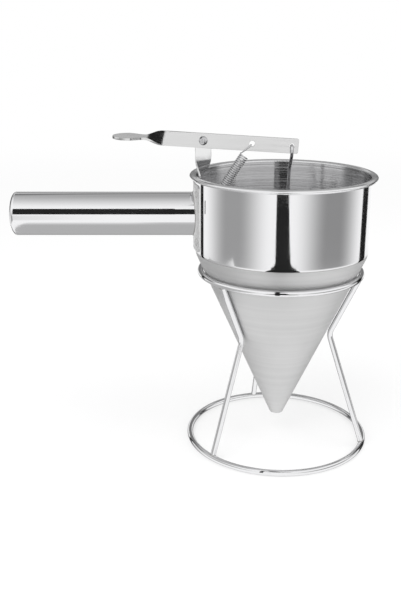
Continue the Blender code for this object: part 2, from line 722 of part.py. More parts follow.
def least_gap(points, radius):
    """Least clear distance between stretches of wire that are half a turn or more apart."""
    apart = SPRING_POINTS_PER_TURN // 2
    best = math.inf
    for i in range(len(points) - 1):
        middle = (points[i] + points[i + 1]) / 2
        for j in range(i + apart, len(points) - 1):
            start, end = points[j], points[j + 1]
            stretch = end - start
            share = min(max((middle - start).dot(stretch) / stretch.length_squared, 0), 1)
            best = min(best, (middle - start - stretch * share).length)
    return best - 2 * radius


def spring(group):
    finish = material("spring_steel", (0.55, 0.55, 0.56), 0.25)
    points = spring_points()
    print(f"least gap of the spring's wire to itself: {least_gap(points, SPRING_WIRE_RADIUS) / MM:.2f} mm")
    return wire("return_spring", points, SPRING_WIRE_RADIUS, group, finish, 1)


def plug_levels():
    low = NOZZLE_Z + PLUG_BOTTOM_ABOVE_NOZZLE
    return low, low + PLUG_TAPER_HEIGHT, low + PLUG_TAPER_HEIGHT + PLUG_CROWN_HEIGHT


def rod(group):
    """Wire that hooks through the lever from behind and hangs down to the plug."""
    finish = material("rod_steel", (0.60, 0.60, 0.61), 0.2)
    eye = on_lever(LEVER_ROD_ARM)
    back_y = LEVER_BACK_Y + SEAT_GAP + ROD_RADIUS
    front_y = LEVER_FRONT_Y - SEAT_GAP - ROD_RADIUS
    down = Vector((0, 0, -1))
    back_top = Vector((eye.x, back_y, eye.z))
    front_top = Vector((eye.x, front_y, eye.z))
    jog_top = front_top + down * ROD_FRONT_LEG
    jog_end = Vector((eye.x - ROD_JOG_X, 0, jog_top.z - ROD_JOG_LENGTH))
    crown_z = plug_levels()[2]
    end = Vector((0, 0, crown_z - PLUG_SOCKET_DEPTH + SEAT_GAP))
    entry = Vector((0, 0, crown_z + ROD_RADIUS))
    points = [back_top + down * ROD_TAIL]
    points += round_corner(points[0], back_top, front_top, ROD_HOOK_CORNER)
    points += round_corner(back_top, front_top, jog_top, ROD_HOOK_CORNER)
    points += round_corner(front_top, jog_top, jog_end, ROD_JOG_CORNER)
    points += round_corner(jog_top, jog_end, entry, ROD_JOG_CORNER)
    points += [jog_end.lerp(entry, share) for share in ROD_RUN_SHARES]
    points += [entry, end]
    return wire("stopper_rod", points, ROD_RADIUS, group, finish)


def round_corner(before, corner, after, reach):
    """Points that round a corner of a path in space, starting reach away from it."""
    a = corner + (before - corner).normalized() * reach
    b = corner + (after - corner).normalized() * reach
    points = []
    for share in spread(0, 1, CORNER_STEPS):
        points.append(a.lerp(corner, share).lerp(corner.lerp(b, share), share))
    return points


def plug(group):
    """Tapered plug that closes the cone just above the nozzle."""
    finish = material("plug_steel", (0.7, 0.7, 0.7), 0.25)
    low, taper_top, crown_top = plug_levels()
    inset = SHEET + SEAT_GAP
    socket = ROD_RADIUS + BORE_GAP
    low_r = cone_point(low, inset)
    high_r = cone_point(taper_top, inset)
    shoulder = high_r - PLUG_NECK_RADIUS
    crown = arc((PLUG_NECK_RADIUS, taper_top), shoulder, PLUG_CROWN_HEIGHT, math.pi / 2, 0, CORNER_STEPS)
    floor_z = crown_top - PLUG_SOCKET_DEPTH
    outline = [(0, floor_z), (socket, floor_z), (socket, crown_top)]
    outline += crown
    outline += [(low_r + PLUG_BLUNT * CONE_SLOPE, low + PLUG_BLUNT), (low_r - PLUG_BLUNT, low), (0, low)]
    return turned_solid("stopper_plug", outline, SMALL_STEPS, group, finish)


def main():
    clear_scene()
    parts = collection("dispensing_funnel")
    cutters = collection("cutters")
    cup(parts)
    cone(parts)
    handle(parts, cutters)
    stand(parts)
    lever(parts)
    bracket(parts)
    pivot(parts, cutters)
    spring(parts)
    rod(parts)
    plug(parts)

    frame = bpy.data.objects.new("funnel_axis", None)
    parts.objects.link(frame)
    frame.location = (AXIS_X, 0, 0)
    for piece in list(parts.objects) + list(cutters.objects):
        if piece is not frame:
            piece.parent = frame


main()
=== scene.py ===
"""Looks of a steel dispensing funnel on its wire stand: polished and satin metal, welds and studio.

Every piece is modelled in metres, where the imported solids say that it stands.
"""

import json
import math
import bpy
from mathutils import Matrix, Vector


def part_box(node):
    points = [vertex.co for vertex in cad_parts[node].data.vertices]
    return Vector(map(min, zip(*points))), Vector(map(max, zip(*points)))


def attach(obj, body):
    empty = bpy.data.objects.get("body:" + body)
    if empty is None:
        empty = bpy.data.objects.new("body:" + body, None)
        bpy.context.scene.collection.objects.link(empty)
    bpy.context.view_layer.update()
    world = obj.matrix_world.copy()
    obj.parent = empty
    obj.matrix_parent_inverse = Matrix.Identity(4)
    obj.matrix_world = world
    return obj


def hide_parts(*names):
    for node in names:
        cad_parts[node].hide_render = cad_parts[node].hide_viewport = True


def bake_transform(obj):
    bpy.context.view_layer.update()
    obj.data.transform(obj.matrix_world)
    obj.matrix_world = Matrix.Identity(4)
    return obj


bl_info = {
    "name": "Dispensing Funnel",
    "version": (1, 0, 0),
    "blender": (4, 5, 0),
    "location": "View3D > Sidebar > Funnel",
    "description": "Models a steel dispensing funnel with a sprung thumb lever and a wire stand",
    "category": "Add Mesh",
}

import bmesh
import bpy
from mathutils import Matrix, Vector

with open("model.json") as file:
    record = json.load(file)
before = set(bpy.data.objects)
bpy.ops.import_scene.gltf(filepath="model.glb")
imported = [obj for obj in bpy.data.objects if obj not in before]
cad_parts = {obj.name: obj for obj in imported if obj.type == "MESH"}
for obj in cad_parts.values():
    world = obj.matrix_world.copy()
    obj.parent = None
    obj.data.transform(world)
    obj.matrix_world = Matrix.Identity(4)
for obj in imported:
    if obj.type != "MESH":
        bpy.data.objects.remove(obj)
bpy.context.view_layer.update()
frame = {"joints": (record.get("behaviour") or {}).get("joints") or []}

MM = 0.001
DOUBLES = 0.001 * MM
DRILL_LENGTH = 30 * MM
DRILL_SIDES = 48
# Steps of the broad turned pieces
TURN_STEPS = 256
# Blender's rotate operator turns the other way when it runs without a window
ROTATE_SIGN = -1
BLACK = (0, 0, 0, 1)
WHITE = (1, 1, 1, 1)


def middle(node):
    """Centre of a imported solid's box."""
    low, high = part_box(node)
    return (low + high) / 2


def half_size(node):
    low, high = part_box(node)
    return (high - low) / 2


# Places that every piece is worked out from
AXIS_X = middle("cone").x
RIM_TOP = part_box("cup")[1].z
RIM_RADIUS = half_size("cup").x
NOZZLE_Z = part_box("cone")[0].z
HANDLE_Z = middle("handle_tube").z
HANDLE_RADIUS = half_size("handle_tube").z
HANDLE_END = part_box("handle_end_cap")[0].x
JOINTS = {joint["name"]: joint for joint in frame["joints"]}
PIVOT = Vector(JOINTS["lever_hinge"]["pos_m"])
ROD_EYE = Vector(JOINTS["rod_hinge"]["pos_m"])


def length(name, description, default):
    return bpy.props.FloatProperty(
        name=name,
        description=description,
        default=default,
        min=0,
        precision=5,
        unit="LENGTH",
        subtype="DISTANCE",
    )


def angle(name, description, degrees):
    return bpy.props.FloatProperty(
        name=name, description=description, default=math.radians(degrees), subtype="ANGLE"
    )


def colour(name, description, default):
    return bpy.props.FloatVectorProperty(
        name=name, description=description, default=default, size=3, min=0, max=1, subtype="COLOR"
    )


def share(name, description, default):
    return bpy.props.FloatProperty(
        name=name, description=description, default=default, min=0, max=1, subtype="FACTOR"
    )


class FunnelBodySizes(bpy.types.PropertyGroup):
    cup_radius: length("Cup radius", "Outside radius of the cup's wall", 54.0 * MM)
    sheet: length("Sheet", "Thickness of the cup's and cone's sheet", 0.8 * MM)
    bead_height: length("Rim bead height", "Height of the rolled rim", 2.8 * MM)
    shoulder: length("Shoulder radius", "Radius of the bend between cup and cone", 12.0 * MM)
    cone_angle: angle("Cone half angle", "Slope of the cone from its axis", 24.2)
    nozzle_radius: length("Nozzle radius", "Outside radius at the nozzle", 4.2 * MM)
    lip_round: length("Nozzle lip", "Rounding of the nozzle's lip", 0.3 * MM)
    seam_share: share("Seam place", "Place of the seam in the bend, from wall to cone", 0.28)
    seam_gap: length("Seam width", "Width of the line between polished and satin metal", 0.3 * MM)
    seam_depth: length("Seam depth", "Depth of that line", 0.12 * MM)


class FunnelHandleSizes(bpy.types.PropertyGroup):
    wall: length("Tube wall", "Wall of the handle tube", 1.0 * MM)
    cap_reach: length("Cap length", "Length of the cap's rounded corner", 3.25 * MM)
    cap_round: length("Cap corner", "Width of the cap's rounded corner", 7.0 * MM)
    cap_seam: length("Cap seam", "Width of the line between tube and cap", 0.12 * MM)
    spigot: length("Cap spigot", "Length of the cap inside the tube", 4.0 * MM)
    saddle_gap: length("Saddle gap", "Space between saddle and cup", 0.3 * MM)
    saddle_sheet: length("Saddle sheet", "Thickness of the saddle", 1.0 * MM)
    saddle_width: length("Saddle width", "Width of the saddle round the cup", 39.5 * MM)
    saddle_height: length("Saddle height", "Height of the saddle", 41.0 * MM)
    saddle_corner: length("Saddle corner", "Radius of the saddle's corners", 4.0 * MM)
    saddle_edge: length("Saddle edge", "Rounding of the saddle's edges", 0.25 * MM)
    weld: length("Weld size", "Width of the weld bead round the tube", 0.7 * MM)
    weld_lift: length("Weld lift", "Saddle's face to the middle of the weld bead", 0.15 * MM)
    spot: length("Spot weld", "Radius of a spot weld's mark", 1.9 * MM)
    spot_ridge: length("Spot ridge", "Half the width of the mark's raised ring", 0.22 * MM)
    spot_aside: length("Spot from side", "Saddle's side to a spot weld", 5.2 * MM)
    spot_above: length("Spot from end", "Saddle's top or foot to a spot weld", 5.8 * MM)


class FunnelLeverSizes(bpy.types.PropertyGroup):
    thickness: length("Lever thickness", "Thickness of the lever's strip", 1.5 * MM)
    width: length("Lever width", "Width of the lever's strip", 8.9 * MM)
    slope: angle("Lever slope", "How far the inner end lies below level", 3.5)
    inner_margin: length("Lever end", "Metal past the rod's hole", 4.0 * MM)
    end_corner: length("End corner", "Rounding of the lever's inner corners", 1.0 * MM)
    spring_arm: length("Spring arm", "Pivot to the spring's hole", 29.6 * MM)
    spring_hole: length("Spring hole", "Radius of the spring's hole", 1.75 * MM)
    rod_hole: length("Rod hole", "Radius of the rod's hole", 1.6 * MM)
    pivot_hole: length("Pivot hole", "Radius of the pivot's holes", 1.8 * MM)
    twist_start: length("Twist start", "Pivot to the start of the twist", 20.0 * MM)
    twist_length: length("Twist length", "Length of the twist", 15.5 * MM)
    twist: angle("Twist", "How far the pad is turned from the strip", 85)
    pad_length: length("Pad length", "Length of the thumb pad", 19.2 * MM)
    pad_width: length("Pad width", "Width of the thumb pad", 15.5 * MM)
    pad_drop: length("Pad drop", "How far the pad's end bends down", 1.0 * MM)
    edge: length("Edge", "Rounding of the strip's edges", 0.22 * MM)


class FunnelBracketSizes(bpy.types.PropertyGroup):
    thickness: length("Strap thickness", "Thickness of the bracket's strap", 1.2 * MM)
    width: length("Strap width", "Width of the bracket's strap", 9.8 * MM)
    above_pivot: length("Ear", "Strap above the pivot", 4.0 * MM)
    ear_corner: length("Ear corner", "Rounding of the ear's corners", 3.0 * MM)
    twist_drop: length("Twist drop", "Pivot to the start of the twist", 7.0 * MM)
    twist_length: length("Twist length", "Length of the quarter twist", 18.5 * MM)
    set_drop: length("Set drop", "Pivot to where the strap starts to move to the wall", 12.0 * MM)
    set_length: length("Set length", "Length over which it moves to the wall", 24.0 * MM)
    wall_gap: length("Wall gap", "Space between strap and cup", 0.55 * MM)
    bend: length("Bend radius", "Middle radius of the bend into the tongue", 2.2 * MM)
    tongue: length("Tongue", "Reach of the tongue from the strap", 7.2 * MM)
    hole_inset: length("Tongue hole inset", "Tongue's end to its hole", 3.2 * MM)
    hole: length("Tongue hole", "Radius of the tongue's hole", 1.5 * MM)


class FunnelScrewSizes(bpy.types.PropertyGroup):
    head_radius: length("Screw head", "Radius of the pivot screw's head", 2.6 * MM)
    head_height: length("Head height", "Height of the screw's head", 1.7 * MM)
    head_side: length("Head side", "Height of the straight side under the head's dome", 0.9 * MM)
    head_edge: length("Head edge", "Chamfer of the head's lower edge", 0.15 * MM)
    slot_length: length("Slot length", "Length of each slot of the cross", 3.1 * MM)
    slot_width: length("Slot width", "Width of each slot of the cross", 0.75 * MM)
    slot_depth: length("Slot depth", "Depth of the cross", 1.0 * MM)
    shank: length("Shank", "Radius of the screw's shank", 1.5 * MM)
    plain: length("Plain shank", "Smooth shank under the head", 2.2 * MM)
    pitch: length("Pitch", "Pitch of the thread", 0.5 * MM)
    thread_depth: length("Thread depth", "Depth of the thread", 0.28 * MM)
    plain_tip: length("Plain tip", "Least length of the tip without thread", 0.3 * MM)
    nut_flats: length("Nut", "Half the width of the nut across its flats", 2.75 * MM)
    nut_height: length("Nut height", "Height of the nut", 2.4 * MM)
    nut_chamfer: length("Nut chamfer", "Height of the chamfer at the nut's points", 0.45 * MM)
    nut_edge: length("Nut edge", "Width of the nut's broken edges", 0.08 * MM)


class FunnelWireSizes(bpy.types.PropertyGroup):
    spring_wire: length("Spring wire", "Radius of the spring's wire", 0.4 * MM)
    coil: length("Coil radius", "Middle radius of the coil", 2.6 * MM)
    turns: bpy.props.IntProperty(name="Turns", description="Turns of the coil", default=29, min=1)
    top_reach: length("Upper hook", "Lever's hole to the coil", 8.8 * MM)
    tail_reach: length("Lower hook", "Tongue's hole to the coil", 6.2 * MM)
    hook_leg: length("Hook leg", "Wire past the hole", 1.4 * MM)
    hook_bend: length("Hook bend", "Wire taken up by each bend of the upper hook", 0.9 * MM)
    tail_bend: length("Tail bend", "Wire taken up by the bend of the lower hook", 0.7 * MM)
    rod: length("Rod wire", "Radius of the rod", 1.0 * MM)
    rod_corner: length("Rod corner", "Wire taken up by each bend of the hook", 1.9 * MM)
    jog_corner: length("Jog corner", "Wire taken up by each bend of the jog", 2.6 * MM)
    rod_tail: length("Rod tail", "Wire behind the lever", 2.6 * MM)
    front_leg: length("Front leg", "Wire in front of the lever", 5.5 * MM)
    jog_length: length("Jog length", "Height of the jog back to the axis", 8.0 * MM)
    jog_side: length("Jog side", "Sideways part of the jog", 0.9 * MM)
    ring_wire: length("Ring wire", "Radius of the stand's rings", 1.9 * MM)
    leg_wire: length("Leg wire", "Radius of the stand's legs", 1.75 * MM)
    leg_bend_z: length("Leg bend", "Height of the legs' bend", 75.5 * MM)
    leg_corner: length("Leg corner", "Radius of the legs' bend", 9.0 * MM)
    leg_bite: length("Leg bite", "How far a leg's end is sunk in its ring", 0.3 * MM)
    collar_inset: length("Collar inset", "Leg's end to the middle of its weld", 0.1 * MM)
    seat: length("Seat gap", "Space between solids that touch", 0.3 * MM)


class FunnelPlugSizes(bpy.types.PropertyGroup):
    taper: length("Taper", "Height of the plug's tapered part", 5.0 * MM)
    blunt: length("Blunt tip", "Rounding of the plug's lower edge", 0.6 * MM)
    neck: length("Neck", "Radius at the plug's top", 2.4 * MM)
    socket_depth: length("Socket", "Depth of the socket for the rod", 4.5 * MM)
    rod_depth: length("Rod depth", "How far the rod goes into the socket", 4.2 * MM)


class FunnelFinishes(bpy.types.PropertyGroup):
    polished: colour("Polished steel", "Colour of the cup, handle and wires", (0.86, 0.86, 0.87))
    satin: colour("Satin steel", "Colour of the cone", (0.72, 0.72, 0.72))
    sheet: colour("Sheet steel", "Colour of the lever and bracket", (0.78, 0.78, 0.78))
    spring: colour("Spring steel", "Colour of the spring", (0.78, 0.78, 0.79))
    weld: colour("Weld", "Colour of the weld beads", (0.55, 0.54, 0.53))
    polished_roughness: share("Polish", "Roughness of the polished metal", 0.07)
    satin_roughness: share("Satin", "Roughness of the satin metal", 0.62)
    sheet_roughness: share("Sheet", "Roughness of the lever's sheet", 0.2)


class FunnelStageSettings(bpy.types.PropertyGroup):
    focal: length("Focal length", "Focal length for a 36 mm long side", 50.66 * MM)
    pitch: angle("Camera pitch", "How far the camera looks down", 18.208)
    aside: length("Camera aside", "How far the camera stands to the left of the funnel's axis", 50.73 * MM)
    away: length("Camera distance", "How far the camera stands in front of the funnel's axis", 516.6 * MM)
    height: length("Camera height", "Height of the camera over the table", 264.13 * MM)
    tent_radius: length("Tent radius", "Radius of the studio's light tent", 480 * MM)
    floor_radius: length("Floor radius", "Radius of the floor", 1.6)
    card_away: length("Card distance", "How far the black card stands in front of the axis", 130 * MM)


GROUPS = {
    "funnel_body": FunnelBodySizes,
    "funnel_handle": FunnelHandleSizes,
    "funnel_lever": FunnelLeverSizes,
    "funnel_bracket": FunnelBracketSizes,
    "funnel_screw": FunnelScrewSizes,
    "funnel_wire": FunnelWireSizes,
    "funnel_plug": FunnelPlugSizes,
    "funnel_finish": FunnelFinishes,
    "funnel_stage": FunnelStageSettings,
}


def sizes(group):
    return getattr(bpy.context.scene, group)


class Socket:
    """A shader output that Python's own operators work on."""

    def __init__(self, tree, link):
        self.tree = tree
        self.link = link

    def math(self, operation, *others):
        values = dict(enumerate((self, *others)))
        return self.tree.node("ShaderNodeMath", {"operation": operation}, values)

    def __add__(self, other):
        return self.math("ADD", other)

    def __sub__(self, other):
        return self.math("SUBTRACT", other)

    def __mul__(self, other):
        return self.math("MULTIPLY", other)

    def __rsub__(self, other):
        return self.tree.node("ShaderNodeMath", {"operation": "SUBTRACT"}, {0: other, 1: self})

    __radd__ = __add__
    __rmul__ = __mul__


class Tree:
    """The node tree of one material or world."""

    def __init__(self, owner):
        owner.use_nodes = True
        self.owner = owner
        self.nodes = owner.node_tree.nodes
        self.links = owner.node_tree.links
        self.nodes.clear()

    def node(self, kind, settings=None, values=None, out=0):
        """Adds a node: its settings first, then the values or links of its sockets."""
        made = self.nodes.new(kind)
        for name, value in (settings or {}).items():
            setattr(made, name, value)
        for key, value in (values or {}).items():
            target = made.inputs[key]
            if isinstance(value, Socket):
                self.links.new(value.link, target)
            else:
                target.default_value = value
        return Socket(self, made.outputs[out])

    def place(self, scale=(1, 1, 1)):
        """Object coordinates, counted in the given number of units a metre."""
        where = self.node("ShaderNodeTexCoord", out="Object")
        return self.node("ShaderNodeMapping", {}, {"Vector": where, "Scale": scale})

    def split(self, vector):
        return [self.node("ShaderNodeSeparateXYZ", {}, {0: vector}, out=axis) for axis in "XYZ"]

    def noise(self, vector, detail):
        return self.node("ShaderNodeTexNoise", {}, {"Vector": vector, "Scale": 1.0, "Detail": detail})

    def lines(self, along, scale, detail):
        """Grey level of fine lines that lie square to a distance."""
        values = {"W": along, "Scale": scale, "Detail": detail}
        return self.node("ShaderNodeTexNoise", {"noise_dimensions": "1D"}, values)

    def range(self, value, low, high, to_low=0.0, to_high=1.0):
        settings = {"interpolation_type": "SMOOTHSTEP"}
        values = {"Value": value, "From Min": low, "From Max": high, "To Min": to_low, "To Max": to_high}
        return self.node("ShaderNodeMapRange", settings, values)

    def mix(self, factor, first, second):
        """Colour between two colours."""
        settings = {"data_type": "RGBA"}
        return self.node("ShaderNodeMix", settings, {0: factor, 6: first, 7: second}, out=2)

    def tilt(self, lines, strength, direction=(0, 0, 1)):
        """Normal that leans to and fro along a direction with a grey level."""
        lean = (lines - 0.5) * strength
        along = self.node("ShaderNodeVectorMath", {"operation": "SCALE"}, {0: direction, "Scale": lean})
        normal = self.node("ShaderNodeNewGeometry", out="Normal")
        total = self.node("ShaderNodeVectorMath", {"operation": "ADD"}, {0: normal, 1: along})
        return self.node("ShaderNodeVectorMath", {"operation": "NORMALIZE"}, {0: total})

    def bump(self, height, strength, distance):
        values = {"Strength": strength, "Distance": distance, "Height": height}
        return self.node("ShaderNodeBump", {}, values)

    def metal(self, colour, roughness, normal=None):
        values = {"Base Color": colour, "Roughness": roughness, "Metallic": 1.0}
        if normal is not None:
            values["Normal"] = normal
        return self.node("ShaderNodeBsdfPrincipled", {}, values)

    def glow(self, colour, strength):
        return self.node("ShaderNodeEmission", {}, {"Color": colour, "Strength": strength})

    def clear(self):
        return self.node("ShaderNodeBsdfTransparent", {}, {"Color": WHITE})

    def blend(self, factor, first, second):
        """Surface between two surfaces."""
        return self.node("ShaderNodeMixShader", {}, {0: factor, 1: first, 2: second})

    def finish(self, surface):
        world = isinstance(self.owner, bpy.types.World)
        made = self.nodes.new("ShaderNodeOutputWorld" if world else "ShaderNodeOutputMaterial")
        self.links.new(surface.link, made.inputs["Surface"])


def opaque(rgb, level=1.0):
    return (rgb[0] * level, rgb[1] * level, rgb[2] * level, 1)


def new_material(name):
    made = bpy.data.materials.new(name)
    return made, Tree(made)


def polished_steel(name, groove=(0, 0, 1), wave=0.010):
    """Mirror polish with faint wiping marks, a few hairlines and a slightly wavy sheet."""
    made, tree = new_material(name)
    finish = sizes("funnel_finish")
    wiped = tree.noise(tree.place((35, 35, 60)), detail=3)
    hair_scale = [2600 if part else 70 for part in groove]
    hair = tree.range(tree.noise(tree.place(hair_scale), detail=1), 0.62, 0.75)
    tint = tree.mix(wiped, opaque(finish.polished, 0.965), opaque(finish.polished))
    roughness = tree.range(wiped, 0.35, 0.7, -0.015, 0.03) + hair * 0.05 + finish.polished_roughness
    ripple = tree.noise(tree.place((22, 22, 9)), detail=1)
    normal = tree.tilt(ripple, wave, groove)
    tree.finish(tree.metal(tint, roughness, normal))
    return made


def turned_inside_painted_shade(name):
    """Inside of the cup: fine rings left by the lathe, which smear what they mirror up and down,
    on the polished steel's colour darkened to about 0.54 to 0.61 as painted shade of the hollow.
    """
    made, tree = new_material(name)
    finish = sizes("funnel_finish")
    wander = tree.noise(tree.place((6, 6, 6)), detail=2)
    height = tree.split(tree.place())[2] + wander * 0.0012
    rings = tree.lines(height, 5200, 3)
    bands = tree.lines(height, 420, 2)
    # Painted shade: the inside's colour is the polished steel's at 0.54 and 0.61, darker than the outside,
    # with random bands between the two levels
    dull, bright = opaque(finish.polished, 0.54), opaque(finish.polished, 0.61)
    tint = tree.mix(tree.range(bands, 0.3, 0.7), dull, bright)
    roughness = tree.range(rings, 0.3, 0.7, 0.05, 0.09)
    tree.finish(tree.metal(tint, roughness, tree.tilt(rings + 0.1, 1.4)))
    return made


def rolled_rim(name):
    """Rim: buffed less than the wall, so that its reflections are softer."""
    made, tree = new_material(name)
    finish = sizes("funnel_finish")
    buffed = tree.noise(tree.place((160, 160, 160)), detail=2)
    tint = tree.mix(buffed, opaque(finish.polished, 0.95), opaque(finish.polished))
    roughness = tree.range(buffed, 0.3, 0.7, 0.17, 0.25)
    tree.finish(tree.metal(tint, roughness))
    return made


def satin_steel(name):
    """Satin turned finish of the cone."""
    made, tree = new_material(name)
    finish = sizes("funnel_finish")
    height = tree.split(tree.place())[2]
    rings = tree.lines(height, 6500, 3)
    bands = tree.lines(height, 300, 2)
    cloud = tree.noise(tree.place((28, 28, 28)), detail=3)
    level = tree.range(bands, 0.2, 0.8) * 0.5 + tree.range(cloud, 0.3, 0.7) * 0.5
    tint = tree.mix(level, opaque(finish.satin, 0.95), opaque(finish.satin, 1.04))
    roughness = tree.range(rings, 0.2, 0.8, -0.05, 0.06) + finish.satin_roughness
    tree.finish(tree.metal(tint, roughness, tree.tilt(rings, 0.12)))
    return made


def rolled_sheet(name, grain, level=1.0, roughness_shift=0.0):
    """Cut strip: smooth rolled faces with a faint grain along their length."""
    made, tree = new_material(name)
    finish = sizes("funnel_finish")
    lines = tree.noise(tree.place(grain), detail=2)
    cloud = tree.noise(tree.place((90, 90, 90)), detail=2)
    tint = tree.mix(cloud, opaque(finish.sheet, 0.96 * level), opaque(finish.sheet, level))
    base = finish.sheet_roughness + roughness_shift
    roughness = tree.range(lines, 0.25, 0.75, -0.05, 0.07) + base
    normal = tree.bump(lines, 0.05, 0.02 * MM)
    tree.finish(tree.metal(tint, roughness, normal))
    return made


def drawn_wire(name, rgb, roughness):
    """Wire with drawing lines and small clean and dull patches."""
    made, tree = new_material(name)
    patches = tree.noise(tree.place((160, 160, 160)), detail=2)
    tint = tree.mix(patches, opaque(rgb, 0.93), opaque(rgb))
    rough = tree.range(patches, 0.35, 0.65, -0.02, 0.05) + roughness
    ripple = tree.noise(tree.place((900, 900, 900)), detail=1)
    tree.finish(tree.metal(tint, rough, tree.bump(ripple, 0.08, 0.02 * MM)))
    return made


def weld_metal(name):
    """Weld bead: dull, rippled and a little darker than the sheet."""
    made, tree = new_material(name)
    finish = sizes("funnel_finish")
    ripple = tree.noise(tree.place((1300, 1300, 1300)), detail=2)
    tint = tree.mix(ripple, opaque(finish.weld, 0.8), opaque(finish.weld, 1.15))
    roughness = tree.range(ripple, 0.3, 0.7, 0.28, 0.45)
    tree.finish(tree.metal(tint, roughness, tree.bump(ripple, 0.4, 0.05 * MM)))
    return made


def start_clean():
    """Leaves edit mode and selects nothing, because operators act on all that is selected."""
    if bpy.context.object is not None and bpy.context.object.mode != "OBJECT":
        bpy.ops.object.mode_set(mode="OBJECT")
    bpy.ops.object.select_all(action="DESELECT")


def only(piece):
    start_clean()
    piece.select_set(True)
    bpy.context.view_layer.objects.active = piece


def named(name):
    """Gives the object that an operator has just added its name."""
    made = bpy.context.object
    made.name = name
    made.data.name = name
    return made


def edit(piece):
    only(piece)
    bpy.ops.object.mode_set(mode="EDIT")


def leave_edit():
    bpy.ops.object.mode_set(mode="OBJECT")


def choose_all():
    bpy.ops.mesh.select_all(action="SELECT")


def choose(piece, keep, kind="VERT"):
    """In edit mode, selects the vertices, edges or faces that keep says yes to."""
    bpy.ops.mesh.select_mode(type=kind)
    bpy.ops.mesh.select_all(action="DESELECT")
    work = bmesh.from_edit_mesh(piece.data)
    parts = {"VERT": work.verts, "EDGE": work.edges, "FACE": work.faces}[kind]
    for part in parts:
        if keep(part):
            part.select_set(True)
    work.select_flush_mode()
    bmesh.update_edit_mesh(piece.data)


def add_modifier(piece, kind, **settings):
    made = piece.modifiers.new(kind.lower(), kind)
    for name, value in settings.items():
        setattr(made, name, value)
    only(piece)
    bpy.ops.object.modifier_apply(modifier=made.name)


def trace(name, outline, closed=True):
    """Draws a line of (radius, height) points in the XZ plane, one extrude after another."""
    start_clean()
    first = outline[0]
    bpy.ops.mesh.primitive_plane_add(size=MM, location=(first[0], 0, first[1]))
    piece = named(name)
    edit(piece)
    bpy.ops.mesh.select_mode(type="VERT")
    choose_all()
    bpy.ops.mesh.merge(type="CENTER")
    for before, after in zip(outline, outline[1:]):
        step = (after[0] - before[0], 0, after[1] - before[1])
        bpy.ops.mesh.extrude_vertices_move(TRANSFORM_OT_translate={"value": step})
    if closed:
        choose(piece, lambda vert: len(vert.link_edges) == 1)
        bpy.ops.mesh.edge_face_add()
    leave_edit()
    return piece


def close_up():
    """Merges the doubles of a mesh and turns its faces outwards."""
    choose_all()
    bpy.ops.mesh.remove_doubles(threshold=DOUBLES)
    bpy.ops.mesh.normals_make_consistent(inside=False)
    leave_edit()


def turn(name, outline, steps, closed=True, smooth=35):
    """Spins an outline round the Z axis into a closed solid."""
    piece = trace(name, outline, closed)
    edit(piece)
    choose_all()
    bpy.ops.mesh.spin(steps=steps, angle=2 * math.pi, center=(0, 0, 0), axis=(0, 0, 1))
    close_up()
    settle(piece, smooth)
    return piece


def apply_place():
    """Puts the chosen object at the origin, with its place, turn and size in its mesh."""
    bpy.ops.object.transform_apply(location=True, rotation=True, scale=True)


def settle(piece, smooth=35):
    """Applies a piece's place and shades it smooth up to an angle."""
    only(piece)
    apply_place()
    bpy.ops.object.shade_smooth_by_angle(angle=math.radians(smooth))


def flatten_shading(piece):
    """Keeps broad flat faces flat beside their rounded edges."""
    add_modifier(piece, "WEIGHTED_NORMAL", weight=100, keep_sharp=True)


def move(piece, offset):
    only(piece)
    bpy.ops.transform.translate(value=offset)
    apply_place()


def tip(piece, value, axis):
    """Turns a piece round one of the axes through the origin."""
    only(piece)
    bpy.ops.transform.rotate(value=ROTATE_SIGN * value, orient_axis=axis, center_override=(0, 0, 0))
    apply_place()


def lay_along_x(piece, height):
    """Turns a piece made round Z so that its top points along -X, at a height."""
    tip(piece, math.radians(-90), "Y")
    move(piece, (AXIS_X, 0, height))


def face_front(piece, place):
    """Turns a piece made round Z so that its top points along -Y, at a place."""
    tip(piece, math.radians(90), "X")
    move(piece, place)


def stand_up(piece, place, direction):
    """Puts a piece made round Z at a place, with its top along a direction."""
    facing = direction.to_track_quat("Z", "Y").to_matrix().to_4x4()
    piece.matrix_world = Matrix.Translation(place) @ facing


def squash(piece, share_left):
    """Flattens a piece made round Z to a share of its height."""
    edit(piece)
    choose_all()
    bpy.ops.transform.resize(value=(1, 1, share_left), center_override=(0, 0, 0))
    leave_edit()


def cylinder(name, radius, depth, place, axis, sides):
    start_clean()
    turned = (math.pi / 2, 0, 0) if axis == "Y" else (0, 0, 0)
    bpy.ops.mesh.primitive_cylinder_add(
        vertices=sides, radius=radius, depth=depth, location=place, rotation=turned
    )
    return named(name)


def cut(piece, cutter, operation="DIFFERENCE"):
    """Cuts a piece, applies the cut and throws the cutter away."""
    add_modifier(piece, "BOOLEAN", object=cutter, operation=operation, solver="EXACT")
    bpy.data.objects.remove(cutter, do_unlink=True)


def drill(piece, holes, axis):
    for place, radius in holes:
        cut(piece, cylinder("drill", radius, DRILL_LENGTH, place, axis, DRILL_SIDES))


def soften(piece, width, segments=2):
    """Rounds the edges that are sharper than 40 degrees."""
    add_modifier(
        piece,
        "BEVEL",
        width=width,
        segments=segments,
        limit_method="ANGLE",
        angle_limit=math.radians(40),
        use_clamp_overlap=True,
    )


def wire(name, points, radius, sides=8):
    """A wire along points: a path drawn as a curve, given its thickness and made a mesh."""
    start_clean()
    bpy.ops.curve.primitive_nurbs_path_add(location=(0, 0, 0))
    piece = named(name)
    curve = piece.data
    curve.splines.clear()
    line = curve.splines.new("POLY")
    line.points.add(len(points) - 1)
    for target, point in zip(line.points, points):
        target.co = (*point, 1)
    curve.dimensions = "3D"
    curve.bevel_depth = radius
    curve.bevel_resolution = sides // 2 - 2
    curve.use_fill_caps = True
    only(piece)
    bpy.ops.object.convert(target="MESH")
    piece = named(name)
    edit(piece)
    close_up()
    settle(piece, 50)
    return piece


def dress(piece, body, slot, materials, *nodes):
    """Gives a piece its body, materials and the solids that it stands for; the finish slot is not used."""
    for material in materials:
        piece.data.materials.append(material)
    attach(piece, body)
    if nodes:
        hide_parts(*nodes)


